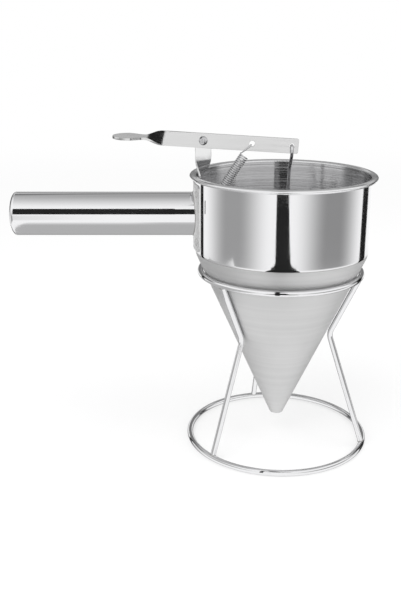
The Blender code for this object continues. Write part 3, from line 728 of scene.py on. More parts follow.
def arc(centre, radius_a, radius_b, start, end, steps):
    """Points of an elliptical arc."""
    points = []
    for i in range(steps + 1):
        at = start + (end - start) * i / steps
        points.append((centre[0] + radius_a * math.cos(at), centre[1] + radius_b * math.sin(at)))
    return points


def spread(start, end, count):
    return [start + (end - start) * i / count for i in range(count + 1)]


def ease(at):
    at = min(max(at, 0), 1)
    return at * at * (3 - 2 * at)


def corner(before, point, after, reach, steps=10):
    """Points that round a corner of a path, starting reach away from it."""
    a = point + (before - point).normalized() * reach
    b = point + (after - point).normalized() * reach
    return [a.lerp(point, s).lerp(point.lerp(b, s), s) for s in spread(0, 1, steps)]


def shoulder_centre():
    body = sizes("funnel_body")
    slope = math.tan(body.cone_angle)
    knee = NOZZLE_Z + (body.cup_radius - body.nozzle_radius) / slope
    return body.cup_radius - body.shoulder, knee + body.shoulder * math.tan(body.cone_angle / 2)


def cone_radius(z, inset=0.0):
    """Radius of the cone's outer face at a height, less an inset square to that face."""
    body = sizes("funnel_body")
    slope = body.cone_angle
    return body.nozzle_radius + (z - NOZZLE_Z) * math.tan(slope) - inset / math.cos(slope)


# Soft dips in the tent's walls: degrees from the front to the right, half width in degrees, depth
TENT_DIPS = ((-68, 52, 0.6), (60, 55, 0.66))
# Level middle of a dip, in degrees either side
DIP_FLOOR = 8
# Upright black strips of the tent: from and to, in degrees from the front to the right
TENT_STRIPS = ((112.5, 130.5), (-133, -124))
STRIP_HEIGHTS = (-0.2, 0.24)

# Outline of the card that makes the cup's stripe, in mm from the axis and over the table
CUP_CARD = (
    (-25.8, 161.5), (-25.0, 111.5), (-27.4, 109.0), (-34.4, 107.0), (-42.0, 100.5),
    (-50.3, 86.6), (-54.0, 78.0), (38.0, 78.0), (31.9, 96.8), (23.5, 107.2),
    (18.6, 108.2), (12.9, 109.8), (9.9, 112.0), (6.5, 125.7), (0.9, 161.5),
)
# How far the rings' cards stand in front of them, in mm
RING_CARD_GAP = 12
# Reach of a card that no distance limits, in mm
NO_LIMIT = 1000

TRAY_PLACE = (-58 * MM, -32.5 * MM, 90 * MM)
TRAY_SIZE = (128 * MM, 125 * MM, 1)

HOOD_RADIUS = 27 * MM
HOOD_WIDTH = 28 * MM
HOOD_ARC = (math.radians(20), math.radians(150))
HOOD_X = -30 * MM
# How far the middle of the hood's arc lies over the pivot
HOOD_RISE = 1.6 * MM


def oblong(left, low, right, high):
    return (left, low), (right, low), (right, high), (left, high)


class FUNNEL_OT_stage(bpy.types.Operator):
    """Floor, light tent, lamps and camera"""

    bl_idname = "funnel.stage"
    bl_label = "Stage"

    def execute(self, context):
        stage = sizes("funnel_stage")
        context.scene.view_settings.view_transform = "Standard"
        self.make_floor(stage)
        self.make_tent(stage)
        self.make_cards(stage)
        self.make_world(context)
        self.make_lamps()
        self.make_camera(context, stage)
        return {"FINISHED"}

    def make_floor(self, stage):
        start_clean()
        bpy.ops.mesh.primitive_circle_add(
            vertices=96, radius=stage.floor_radius, fill_type="NGON", location=(AXIS_X, 0, 0)
        )
        floor = named("floor")
        made, tree = new_material("pale_floor")
        x, y, _ = tree.split(tree.place())
        away = (x * x + y * y).math("SQRT")
        fade = tree.range(away, 0.35 * stage.floor_radius, 0.95 * stage.floor_radius)
        paint = tree.node("ShaderNodeBsdfDiffuse", {}, {"Color": (0.84, 0.84, 0.84, 1)})
        seen = tree.node("ShaderNodeLightPath", out="Is Camera Ray") * 0.55
        pale = tree.blend(seen, paint, tree.glow(WHITE, 1.0))
        tree.finish(tree.blend(fade, pale, tree.clear()))
        floor.data.materials.append(made)
        floor.location.z = -0.05 * MM
        floor.visible_glossy = False
        settle(floor)

    def make_tent(self, stage):
        """A tent of white cloth with dark gaps, which only the metal sees."""
        start_clean()
        bpy.ops.mesh.primitive_uv_sphere_add(
            segments=64, ring_count=48, radius=stage.tent_radius, location=(0, 0, 0)
        )
        tent = named("light_tent")
        settle(tent, 180)
        move(tent, (AXIS_X, 0, 0))
        made, tree = new_material("tent_cloth")
        place = tree.node("ShaderNodeMapping", {}, {
            "Vector": tree.node("ShaderNodeTexCoord", out="Object"), "Location": (-AXIS_X, 0, 0)
        })
        x, y, z = tree.split(place)
        # Degrees round the tent from the front, positive to the right
        round_it = x.math("ARCTAN2", y * -1) * math.degrees(1)
        # White walls with two grey dips at the cup's height
        low = tree.range(z, 0.12, 0.2, 1.0, 0.0) * tree.range(z, -0.05, 0.01)
        left, right = [self.dip(tree, round_it, centre, width) * deep for centre, width, deep in TENT_DIPS]
        walls = 0.93 - (left + right) * low
        # A roof that darkens from the front to the back
        front_back = tree.range(y, -0.36, 0.2)
        roof = tree.range(z, 0.34, 0.44)
        level = walls * (1 - roof) + roof * (0.95 - front_back * 0.6)
        # A dark back, less so at the height that the thumb pad mirrors
        back = tree.range(y, 0.02, 0.14)
        for_pad = self.band(tree, z, 0.288, 0.352, 0.012)
        far_back = self.band(tree, z, 0.12, 0.4, 0.03) * back * (1 - for_pad * 0.5)
        level = level * (1 - far_back * 0.8)
        low_back = tree.range(z, 0.02, -0.05) * tree.range(y, 0.08, 0.25)
        level = level * (1 - low_back * 0.6)
        # Black parts: one in the roof's front and the two strips
        side = tree.range(round_it, 14, -8) * tree.range(round_it, -18, -16.5)
        blacks = [side * tree.range(z, 0.425, 0.44)]
        for start, end in TENT_STRIPS:
            strip = self.band(tree, round_it, start, end, 0.5)
            blacks.append(strip * self.band(tree, z, *STRIP_HEIGHTS, 0.01))
        for black in blacks:
            level = level * (1 - black * 0.985)
        tree.finish(tree.glow(tree.mix(level, BLACK, WHITE), 1.12))
        self.hang(tent, made)

    def make_cards(self, stage):
        """Cards that stand so close that only one part of the metal mirrors each of them."""
        top, base = [half_size(f"stand_{ring}_ring").x / MM + RING_CARD_GAP for ring in ("top", "base")]
        # Outline, distance in front of the axis and the reach that the metal mirrors, all in mm
        cards = {
            # The stripe in the cup's wall, whose foot spreads
            "cup": (CUP_CARD, stage.card_away / MM, 0, NO_LIMIT),
            # The band along the handle, too far off or too near for the cup
            "handle": (oblong(-205, 155.5, -67, 169.8), 30, 15.5, 23),
            "handle_end": (oblong(-67.6, 154.4, -54, 162.6), 20, 6.6, 9.3),
            # The stripe inside the cup
            "mouth": (oblong(-20, 174, 13, 240), 60, 90, NO_LIMIT),
            # The dark spots in the fronts of the two rings
            "top_ring": (oblong(-10.5, 92, -6, 146), top, 0, 40),
            "base_ring": (oblong(-20.5, 0, -17, 36), base, 0, 40),
        }
        for name, (outline, away, nearest, farthest) in cards.items():
            card = trace(f"{name}_card", [(x * MM, z * MM) for x, z in outline])
            edit(card)
            choose_all()
            bpy.ops.mesh.edge_face_add()
            leave_edit()
            move(card, (AXIS_X, -away * MM, 0))
            self.hang(card, self.paper(f"{name}_paper", nearest * MM, farthest * MM))
        self.hang_tray()
        self.hang_hood()

    def hang_tray(self):
        """A grey card under the handle, paler towards the front."""
        start_clean()
        bpy.ops.mesh.primitive_plane_add(size=1, location=TRAY_PLACE)
        tray = named("grey_tray")
        tray.scale = TRAY_SIZE
        settle(tray)
        made, tree = new_material("grey_paper")
        x, y, _ = tree.split(tree.place())
        front = tree.range(x, -0.05, -0.02, 0.95, 0.68)
        level = tree.range(y, -0.1, -0.05, front, 0.5)
        tree.finish(tree.glow(tree.mix(level, BLACK, WHITE), 1.0))
        self.hang(tray, made)

    def hang_hood(self):
        """A curved black card beside the lever, for the dark flank of its twist."""
        hood = trace("twist_hood", arc((0, 0), HOOD_RADIUS, HOOD_RADIUS, *HOOD_ARC, 24), False)
        edit(hood)
        choose_all()
        bpy.ops.mesh.extrude_region_move(TRANSFORM_OT_translate={"value": (0, HOOD_WIDTH, 0)})
        leave_edit()
        settle(hood)
        hood.rotation_euler.z = -math.pi / 2
        settle(hood)
        move(hood, (HOOD_X, PIVOT.y, PIVOT.z + HOOD_RISE))
        self.hang(hood, self.paper("twist_paper", 0, 40 * MM))

    @staticmethod
    def paper(name, nearest, farthest):
        """Black paper that metal mirrors only from between two distances."""
        made, tree = new_material(name)
        path = tree.node("ShaderNodeLightPath", out="Ray Length")
        unseen = path.math("LESS_THAN", nearest).math("MAXIMUM", path.math("GREATER_THAN", farthest))
        tree.finish(tree.blend(unseen, tree.glow(WHITE, 0.02), tree.clear()))
        return made

    @staticmethod
    def hang(card, paper):
        """Gives a part of the studio its material and shows it in the metal alone."""
        card.data.materials.append(paper)
        for ray in ("camera", "diffuse", "shadow", "transmission"):
            setattr(card, f"visible_{ray}", False)

    @staticmethod
    def dip(tree, value, centre, width):
        """1 at the centre, falling softly to 0 at width either side."""
        off = (value - centre).math("ABSOLUTE")
        return tree.range(off, DIP_FLOOR, width, 1.0, 0.0)

    @staticmethod
    def band(tree, value, low, high, soft):
        """1 between low and high."""
        rise = tree.range(value, low - soft, low + soft)
        return rise * tree.range(value, high - soft, high + soft, 1.0, 0.0)

    def make_world(self, context):
        world = bpy.data.worlds.new("studio")
        context.scene.world = world
        tree = Tree(world)
        rays = ["Is Camera Ray", "Is Glossy Ray", "Is Transmission Ray"]
        seen = [tree.node("ShaderNodeLightPath", out=ray) for ray in rays]
        white = seen[0].math("MAXIMUM", seen[1]).math("MAXIMUM", seen[2])
        lighting = tree.node("ShaderNodeBackground", {}, {"Color": WHITE, "Strength": 0.95})
        backdrop = tree.node("ShaderNodeBackground", {}, {"Color": WHITE, "Strength": 1.0})
        tree.finish(tree.blend(white, lighting, backdrop))

    def make_lamps(self):
        self.lamp("key_softbox", (-0.35, -0.55, 1.1), 0.9, 6.5)
        self.lamp("fill_softbox", (0.85, -0.2, 0.8), 0.8, 3.0)

    @staticmethod
    def lamp(name, place, size, power):
        start_clean()
        bpy.ops.object.light_add(type="AREA", location=place)
        made = named(name)
        made.data.shape = "SQUARE"
        made.data.size = size
        made.data.energy = power
        target = Vector((AXIS_X, 0, 0.08))
        made.rotation_euler = (target - Vector(place)).to_track_quat("-Z", "Y").to_euler()
        made.visible_glossy = False

    def make_camera(self, context, stage):
        start_clean()
        place = (AXIS_X - stage.aside, -stage.away, stage.height)
        bpy.ops.object.camera_add(location=place, rotation=(math.pi / 2 - stage.pitch, 0, 0))
        camera = named("camera")
        camera.data.sensor_width = 36
        camera.data.lens = stage.focal / MM
        camera.data.clip_start = 10 * MM
        context.scene.camera = camera


class FUNNEL_OT_body(bpy.types.Operator):
    """Spun cup, satin cone and the seam between them"""

    bl_idname = "funnel.body"
    bl_label = "Cup and cone"

    def execute(self, context):
        body = sizes("funnel_body")
        centre = shoulder_centre()
        outer = body.shoulder
        inner = body.shoulder - body.sheet
        seam = -body.seam_share * body.cone_angle
        half_gap = body.seam_gap / 2 / outer
        inside = body.cup_radius - body.sheet
        bead_half = (RIM_RADIUS - inside) / 2
        bead = (RIM_RADIUS - bead_half, RIM_TOP - body.bead_height / 2)
        join = -math.acos((body.cup_radius - bead[0]) / bead_half)

        rim = arc(bead, bead_half, body.bead_height / 2, math.pi, join, 36)
        wall_out = arc(centre, outer, outer, 0, seam + half_gap, 5)
        wall_in = arc(centre, inner, inner, seam + half_gap, 0, 5)
        cup = turn("cup_shell", rim + wall_out + wall_in, TURN_STEPS)
        move(cup, (AXIS_X, 0, 0))
        metals = [polished_steel("polished_cup"), turned_inside_painted_shade("turned_cup_inside_painted_shade")]
        metals.append(rolled_rim("rolled_rim"))
        dress(cup, "funnel", "polished_steel", metals, "cup")
        self.paint_inside(cup, body)

        lip = body.lip_round
        neck = arc(centre, outer, outer, seam - half_gap, -body.cone_angle, 14)
        lip_line = [
            (cone_radius(NOZZLE_Z + lip), NOZZLE_Z + lip),
            (cone_radius(NOZZLE_Z) - 0.3 * lip, NOZZLE_Z + 0.2 * lip),
            (cone_radius(NOZZLE_Z) - lip, NOZZLE_Z),
            (cone_radius(NOZZLE_Z, body.sheet), NOZZLE_Z),
        ]
        throat = arc(centre, inner, inner, -body.cone_angle, seam - half_gap, 14)
        cone = turn("cone_shell", neck + lip_line + throat, TURN_STEPS)
        move(cone, (AXIS_X, 0, 0))
        dress(cone, "funnel", "satin_steel", [satin_steel("satin_cone")], "cone")

        deep = body.seam_depth
        groove_out = arc(centre, outer - deep, outer - deep, seam + half_gap, seam - half_gap, 2)
        groove_in = arc(centre, inner + deep, inner + deep, seam - half_gap, seam + half_gap, 2)
        weld = turn("cup_seam", groove_out + groove_in, TURN_STEPS)
        move(weld, (AXIS_X, 0, 0))
        dress(weld, "funnel", "satin_steel", [weld_metal("seam_weld")])
        return {"FINISHED"}

    @staticmethod
    def paint_inside(cup, body):
        """Gives the inside wall the lathe's rings on a colour darkened as painted shade, and the rim its
        softer finish.
        """
        limit = RIM_TOP - body.bead_height / 2
        radius = body.cup_radius - 0.4 * body.sheet
        for face in cup.data.polygons:
            middle_r = math.hypot(face.center.x - AXIS_X, face.center.y)
            if middle_r > body.cup_radius or face.center.z > limit:
                face.material_index = 2
            elif middle_r < radius:
                face.material_index = 1


class FUNNEL_OT_handle(bpy.types.Operator):
    """Curved saddle with spot welds, coped tube and domed cap"""

    bl_idname = "funnel.handle"
    bl_label = "Handle"

    def execute(self, context):
        grip = sizes("funnel_handle")
        body = sizes("funnel_body")
        near = body.cup_radius + grip.saddle_gap
        far = near + grip.saddle_sheet
        self.make_saddle(grip, near, far)
        self.make_tube(grip, far)
        self.make_spots(grip, far)
        return {"FINISHED"}

    def make_saddle(self, grip, near, far):
        """A sector of a turned shell, whose corners are cut by a rounded block."""
        spare = 2 * MM
        low = HANDLE_Z - grip.saddle_height / 2
        high = HANDLE_Z + grip.saddle_height / 2
        shell = [(far, high + spare), (far, low - spare), (near, low - spare), (near, high + spare)]
        saddle = turn("saddle_plate", shell, 360)
        move(saddle, (AXIS_X, 0, 0))
        start_clean()
        bpy.ops.mesh.primitive_cube_add(size=1, location=(AXIS_X - far, 0, HANDLE_Z))
        window = named("saddle_window")
        window.scale = (2 * near - far, grip.saddle_width, grip.saddle_height)
        settle(window)
        edit(window)
        choose(window, self.lies_along_x, "EDGE")
        bpy.ops.mesh.bevel(offset=grip.saddle_corner, segments=8)
        leave_edit()
        cut(saddle, window, "INTERSECT")
        soften(saddle, grip.saddle_edge)
        settle(saddle)
        flatten_shading(saddle)
        saddle.visible_glossy = False
        finish = rolled_sheet("saddle_sheet", (60, 60, 900), 1.05, 0.22)
        dress(saddle, "funnel", "polished_steel", [finish], "handle_saddle")

    @staticmethod
    def lies_along_x(edge):
        along = edge.verts[0].co - edge.verts[1].co
        return abs(along.x) > abs(along.y) + abs(along.z)

    def make_tube(self, grip, far):
        reach = AXIS_X - HANDLE_END
        cap_start = reach - grip.cap_reach
        tube_end = cap_start - grip.cap_seam
        bore = HANDLE_RADIUS - grip.wall
        start = far - HANDLE_RADIUS
        section = [(HANDLE_RADIUS, tube_end), (HANDLE_RADIUS, start), (bore, start), (bore, tube_end)]
        tube = turn("handle_grip", section, 128)
        lay_along_x(tube, HANDLE_Z)
        cut(tube, cylinder("cope", far + grip.saddle_gap, 0.1, (AXIS_X, 0, HANDLE_Z), "Z", 256))
        settle(tube)
        flatten_shading(tube)
        tube.visible_glossy = False
        polish = polished_steel("polished_handle", (0, 0, 1), 0.0015)
        dress(tube, "funnel", "polished_steel", [polish], "handle_tube")

        flat = HANDLE_RADIUS - grip.cap_round
        spigot = bore - grip.saddle_gap
        dome = arc((flat, cap_start), grip.cap_round, grip.cap_reach, math.pi / 2, 0, 24)
        outline = [(0, reach)] + dome + [
            (spigot, cap_start),
            (spigot, cap_start - grip.spigot),
            (spigot - grip.wall, cap_start - grip.spigot),
            (spigot - grip.wall, cap_start),
            (flat, reach - grip.wall),
            (0, reach - grip.wall),
        ]
        cap = turn("grip_end_cap", outline, 128, closed=False)
        lay_along_x(cap, HANDLE_Z)
        cap.visible_glossy = False
        polish = polished_steel("polished_cap", (1, 0, 0), 0.004)
        dress(cap, "funnel", "polished_steel", [polish], "handle_end_cap")
        self.make_weld(grip, far)

    @staticmethod
    def make_weld(grip, far):
        """A thin bead that follows the tube's end round the saddle."""
        start_clean()
        bpy.ops.mesh.primitive_torus_add(
            major_segments=96, minor_segments=12, major_radius=HANDLE_RADIUS, minor_radius=grip.weld / 2,
            location=(0, 0, 0), rotation=(0, math.pi / 2, 0),
        )
        weld = named("handle_weld")
        settle(weld, 180)
        for vert in weld.data.vertices:
            at = math.atan2(vert.co.z, vert.co.y)
            y = HANDLE_RADIUS * math.cos(at)
            vert.co.x += AXIS_X - math.sqrt((far + grip.weld_lift) ** 2 - y * y)
            vert.co.z += HANDLE_Z
        weld.visible_glossy = False
        dress(weld, "funnel", "polished_steel", [weld_metal("handle_weld_metal")])

    def make_spots(self, grip, far):
        """Four pressed rings where the saddle is spot welded to the cup."""
        spots = []
        for up in (-1, 1):
            for aside in (-1, 1):
                start_clean()
                bpy.ops.mesh.primitive_torus_add(
                    major_segments=40,
                    minor_segments=10,
                    major_radius=grip.spot,
                    minor_radius=grip.spot_ridge,
                )
                spot = named("spot_weld")
                squash(spot, 0.5)
                y = aside * (grip.saddle_width / 2 - grip.spot_aside)
                z = HANDLE_Z + up * (grip.saddle_height / 2 - grip.spot_above)
                x = -math.sqrt(far * far - y * y)
                stand_up(spot, (AXIS_X + x, y, z), Vector((x, y, 0)).normalized())
                spots.append(spot)
        start_clean()
        for spot in spots:
            spot.select_set(True)
        bpy.context.view_layer.objects.active = spots[0]
        bpy.ops.object.join()
        marks = named("spot_welds")
        settle(marks, 180)
        dress(marks, "funnel", "polished_steel", [weld_metal("spot_weld_metal")])


class FUNNEL_OT_stand(bpy.types.Operator):
    """Two wire rings and three bent legs"""

    bl_idname = "funnel.stand"
    bl_label = "Stand"

    def execute(self, context):
        wires = sizes("funnel_wire")
        body = sizes("funnel_body")
        finish = sizes("funnel_finish")
        bright = drawn_wire("stand_wire", finish.polished, finish.polished_roughness + 0.03)
        base_radius = half_size("stand_base_ring").x - wires.ring_wire
        top_radius = half_size("stand_top_ring").x - wires.ring_wire
        top_z = middle("stand_top_ring").z
        self.make_ring("base_ring", base_radius, wires, wires.ring_wire, bright, "stand_base_ring")
        self.make_ring("top_ring", top_radius, wires, top_z, bright, "stand_top_ring")

        bend_r = cone_radius(wires.leg_bend_z) + (wires.leg_wire + wires.seat) / math.cos(body.cone_angle)
        bend = Vector((bend_r, wires.leg_bend_z))
        up = Vector((math.sin(body.cone_angle), math.cos(body.cone_angle)))
        short = wires.ring_wire - wires.leg_bite
        top = bend + up * ((top_z - wires.leg_bend_z) / up.y - short)
        base = Vector((base_radius, wires.ring_wire))
        foot = base - (base - bend).normalized() * short
        reach = wires.leg_corner * math.tan((top - bend).angle(bend - foot) / 2)
        path = [top] + corner(top, bend, foot, reach, 12) + [foot]
        for side in ("left", "right", "back"):
            node = f"stand_leg_{side}"
            away = middle(node)
            around = math.atan2(away.y, away.x - AXIS_X)
            points = [
                Vector((AXIS_X + p.x * math.cos(around), p.x * math.sin(around), p.y)) for p in path
            ]
            leg = wire(f"leg_{side}", points, wires.leg_wire, 24)
            dress(leg, "stand", "wire_steel", [bright], node)
            self.make_joint(f"{side}_top", points[0], points[1], wires)
            self.make_joint(f"{side}_foot", points[-1], points[-2], wires)
        return {"FINISHED"}

    @staticmethod
    def make_ring(name, radius, wires, z, finish, node):
        start_clean()
        bpy.ops.mesh.primitive_torus_add(
            major_segments=TURN_STEPS, minor_segments=28, major_radius=radius, minor_radius=wires.ring_wire,
            location=(AXIS_X, 0, z),
        )
        ring = named(name)
        settle(ring, 180)
        dress(ring, "stand", "wire_steel", [finish], node)

    @staticmethod
    def make_joint(name, end, inner, wires):
        """The collar of metal that a resistance weld pushes out round a wire's end."""
        along = (end - inner).normalized()
        start_clean()
        bpy.ops.mesh.primitive_uv_sphere_add(segments=32, ring_count=16, radius=wires.leg_wire * 1.13)
        collar = named(f"weld_{name}")
        squash(collar, 0.42)
        stand_up(collar, end - along * wires.collar_inset, along)
        settle(collar, 180)
        dress(collar, "stand", "wire_steel", [weld_metal(f"weld_{name}_metal")])


class Strip:
    """A flat strip that is turned and bent a little at each of many stations along it."""

    def __init__(self, piece, distance):
        self.piece = piece
        self.away = [distance(vert.co) for vert in piece.data.vertices]

    def beyond(self, station):
        limit = station - DOUBLES
        choose(self.piece, lambda vert: self.away[vert.index] > limit)

    def turn(self, station, value, axis, centre):
        self.beyond(station)
        bpy.ops.transform.rotate(value=ROTATE_SIGN * value, orient_axis=axis, center_override=centre)

    def shift(self, station, offset):
        self.beyond(station)
        bpy.ops.transform.translate(value=offset)


class FUNNEL_OT_lever(bpy.types.Operator):
    """Twisted thumb lever"""

    bl_idname = "funnel.lever"
    bl_label = "Lever"
    twist_stations = 22
    drop_stations = 40

    def execute(self, context):
        lever = sizes("funnel_lever")
        arm = (ROD_EYE - PIVOT).length
        inner = arm + lever.inner_margin
        half = lever.width / 2
        start_clean()
        # The strip lies along X with its pivot at the origin and its faces at -Y and +Y
        bpy.ops.mesh.primitive_cube_add(size=1, location=((inner - lever.twist_start) / 2, 0, 0))
        strip = named("lever_strip")
        strip.scale = (inner + lever.twist_start, lever.thickness, lever.width)
        settle(strip)
        edit(strip)
        choose(strip, lambda e: self.at_inner_corner(e, inner), "EDGE")
        bpy.ops.mesh.bevel(offset=lever.end_corner, segments=6)
        before_x, before_half = -lever.twist_start, half
        for x, now_half in self.past_strip(lever, half):
            choose(strip, lambda v: v.co.x < before_x + DOUBLES)
            choose(strip, lambda f: f.calc_center_median().x < before_x + DOUBLES, "FACE")
            bpy.ops.mesh.extrude_region_move(TRANSFORM_OT_translate={"value": (x - before_x, 0, 0)})
            bpy.ops.transform.resize(value=(1, 1, now_half / before_half), center_override=(x, 0, 0))
            before_x, before_half = x, now_half
        leave_edit()
        holes = [
            ((0, 0, 0), lever.pivot_hole),
            ((lever.spring_arm, 0, 0), lever.spring_hole),
            ((arm, 0, 0), lever.rod_hole),
        ]
        drill(strip, holes, "Y")
        soften(strip, lever.edge)
        self.twist_strip(strip, lever)
        tip(strip, lever.slope, "Y")
        move(strip, PIVOT)
        settle(strip, 30)
        flatten_shading(strip)
        strip.visible_glossy = False
        finish = rolled_sheet("lever_sheet", (50, 900, 900), 0.88, -0.04)
        dress(strip, "lever", "sheet_steel", [finish], "lever")
        return {"FINISHED"}

    @staticmethod
    def at_inner_corner(edge, inner):
        return all(v.co.x > inner - DOUBLES for v in edge.verts) and abs(
            edge.verts[0].co.y - edge.verts[1].co.y
        ) > DOUBLES

    def past_strip(self, lever, half):
        """Places past the strip and the half width there: twist, swell and rounded tip."""
        neck = -lever.twist_start - lever.twist_length
        pad = lever.pad_width / 2
        places = [(x, half) for x in spread(-lever.twist_start, neck, self.twist_stations)[1:]]
        half_pad = lever.pad_length / 2
        for s in spread(0, 1, 12)[1:]:
            places.append((neck - half_pad * s, half + (pad - half) * ease(s)))
        # The tip's arc stops short of its pole, so that its end keeps a little width
        for at in spread(0, math.radians(84), 18)[1:]:
            places.append((neck - half_pad * (1 + math.sin(at)), pad * math.cos(at)))
        return places

    def twist_strip(self, strip, lever):
        """Turns the strip beyond each station, and lets the pad's end drop."""
        work = Strip(strip, lambda co: -co.x)
        edit(strip)
        stations = spread(0, 1, self.twist_stations)
        for before, after in zip(stations, stations[1:]):
            step = lever.twist * (ease(after) - ease(before))
            place = lever.twist_start + lever.twist_length * after
            work.turn(place, -step, "X", (0, 0, 0))
        reach = lever.twist_length + lever.pad_length
        places = spread(lever.twist_start, lever.twist_start + reach, self.drop_stations)
        for before, after in zip(places, places[1:]):
            drop = [((at - lever.twist_start) / reach) ** 2 * lever.pad_drop for at in (before, after)]
            work.shift(after, (0, 0, drop[0] - drop[1]))
        leave_edit()


def leg_x():
    """Middle of the strap's leg inside the cup."""
    strap = sizes("funnel_bracket")
    body = sizes("funnel_body")
    return AXIS_X - (body.cup_radius - body.sheet) + strap.wall_gap + strap.thickness / 2


def tongue_height():
    """Middle of the strap's tongue."""
    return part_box("lever_bracket")[0].z + sizes("funnel_bracket").thickness / 2


class FUNNEL_OT_bracket(bpy.types.Operator):
    """Twisted bracket with its spring tongue"""

    bl_idname = "funnel.bracket"
    bl_label = "Bracket"
    twist_stations = 40
    bend_stations = 12

    def execute(self, context):
        strap = sizes("funnel_bracket")
        lever = sizes("funnel_lever")
        top = PIVOT.z + strap.above_pivot
        straight = top - tongue_height() - strap.bend
        bend_length = strap.bend * math.pi / 2
        whole = straight + bend_length + strap.tongue - strap.bend
        start_clean()
        # The strap hangs flat from its top at the origin, with its faces at -Y and +Y
        bpy.ops.mesh.primitive_cube_add(size=1, location=(0, 0, -whole / 2))
        piece = named("bracket_strap")
        piece.scale = (strap.width, strap.thickness, whole)
        settle(piece)
        edit(piece)
        choose(piece, self.runs_through, "EDGE")
        bpy.ops.mesh.bevel(offset=strap.ear_corner, segments=8)
        twist_at = strap.above_pivot + strap.twist_drop
        set_at = strap.above_pivot + strap.set_drop
        set_end = set_at + strap.set_length
        stations = spread(twist_at, set_end, self.twist_stations)
        for place in stations + spread(straight, straight + bend_length, self.bend_stations):
            choose_all()
            bpy.ops.mesh.bisect(plane_co=(0, 0, -place), plane_no=(0, 0, 1))
        leave_edit()
        drill(piece, [((0, 0, -strap.above_pivot), lever.pivot_hole)], "Y")
        drill(piece, [((0, 0, strap.hole_inset - whole), strap.hole)], "Y")
        soften(piece, lever.edge)

        work = Strip(piece, lambda co: -co.z)
        edit(piece)
        shift = leg_x() - PIVOT.x
        for before, after in zip(stations, stations[1:]):
            twist = [math.pi / 2 * ease((at - twist_at) / strap.twist_length) for at in (before, after)]
            aside = [shift * ease((at - set_at) / strap.set_length) for at in (before, after)]
            work.turn(after, twist[1] - twist[0], "Z", (aside[0], 0, 0))
            work.shift(after, (aside[1] - aside[0], 0, 0))
        heading = Vector((0, 0, -1))
        at = Vector((shift, 0, -straight))
        step = bend_length / self.bend_stations
        step_turn = -math.pi / 2 / self.bend_stations
        for i in range(self.bend_stations):
            at = at + heading * step
            heading.rotate(Matrix.Rotation(step_turn, 3, "Y"))
            work.turn(straight + step * (i + 1), step_turn, "Y", at)
        leave_edit()
        move(piece, (PIVOT.x, 0, top))
        settle(piece, 30)
        flatten_shading(piece)
        finish = rolled_sheet("bracket_sheet", (900, 900, 50), 1.04, -0.06)
        dress(piece, "funnel", "sheet_steel", [finish], "lever_bracket")
        return {"FINISHED"}

    @staticmethod
    def runs_through(edge):
        return abs(edge.verts[0].co.y - edge.verts[1].co.y) > DOUBLES


class FUNNEL_OT_pivot(bpy.types.Operator):
    """Cross-recessed screw and chamfered nut"""

    bl_idname = "funnel.pivot"
    bl_label = "Pivot screw and nut"

    def execute(self, context):
        size = sizes("funnel_screw")
        high = -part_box("pivot_screw")[0].y
        start = high - size.head_height
        end = -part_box("pivot_screw")[1].y
        skirt = start + size.head_side
        head = arc((0, skirt), size.head_radius, high - skirt, math.pi / 2, 0, 16)
        outline = head + [(size.head_radius, start + size.head_edge)]
        outline += [(size.head_radius - size.head_edge, start)]
        outline += [(size.shank, start), (size.shank, start - size.plain)]
        core = size.shank - size.thread_depth
        z = start - size.plain
        while z - size.pitch > end + size.plain_tip:
            outline += [(core, z - size.pitch / 2), (size.shank, z - size.pitch)]
            z -= size.pitch
        outline += [(core, end), (0, end)]
        screw = turn("screw", outline, 64, closed=False, smooth=32)
        self.cut_recess(screw, size, high)
        face_front(screw, (PIVOT.x, 0, PIVOT.z))
        settle(screw, 32)
        bright = drawn_wire("screw_metal", (0.55, 0.55, 0.56), 0.2)
        dress(screw, "funnel", "screw_steel", [bright], "pivot_screw")

        points = size.nut_flats / math.cos(math.pi / 6)
        nut = cylinder("nut", points, size.nut_height, (0, 0, 0), "Z", 6)
        flank = size.nut_height / 2
        wide = size.nut_flats * 1.3
        face = size.nut_flats * 0.95
        side = flank - size.nut_chamfer
        lens = [(0, flank), (face, flank), (wide, side), (wide, -side), (face, -flank), (0, -flank)]
        cut(nut, turn("nut_chamfer", lens, 96, closed=False), "INTERSECT")
        drill(nut, [((0, 0, 0), sizes("funnel_lever").pivot_hole)], "Z")
        soften(nut, size.nut_edge, 1)
        face_front(nut, (PIVOT.x, middle("pivot_nut").y, PIVOT.z))
        settle(nut, 30)
        dress(nut, "funnel", "screw_steel", [bright], "pivot_nut")
        return {"FINISHED"}

    @staticmethod
    def cut_recess(screw, size, high):
        """Two slots that narrow downwards make the cross."""
        for at in (math.pi / 4, -math.pi / 4):
            start_clean()
            bpy.ops.mesh.primitive_cube_add(size=1, location=(0, 0, high))
            slot = named("slot")
            slot.scale = (size.slot_length, size.slot_width, 2 * size.slot_depth)
            settle(slot)
            edit(slot)
            choose(slot, lambda v: v.co.z < high)
            floor = (0, 0, high - size.slot_depth)
            bpy.ops.transform.resize(value=(0.45, 0.7, 1), center_override=floor)
            leave_edit()
            slot.rotation_euler.z = at
            settle(slot)
            cut(screw, slot)


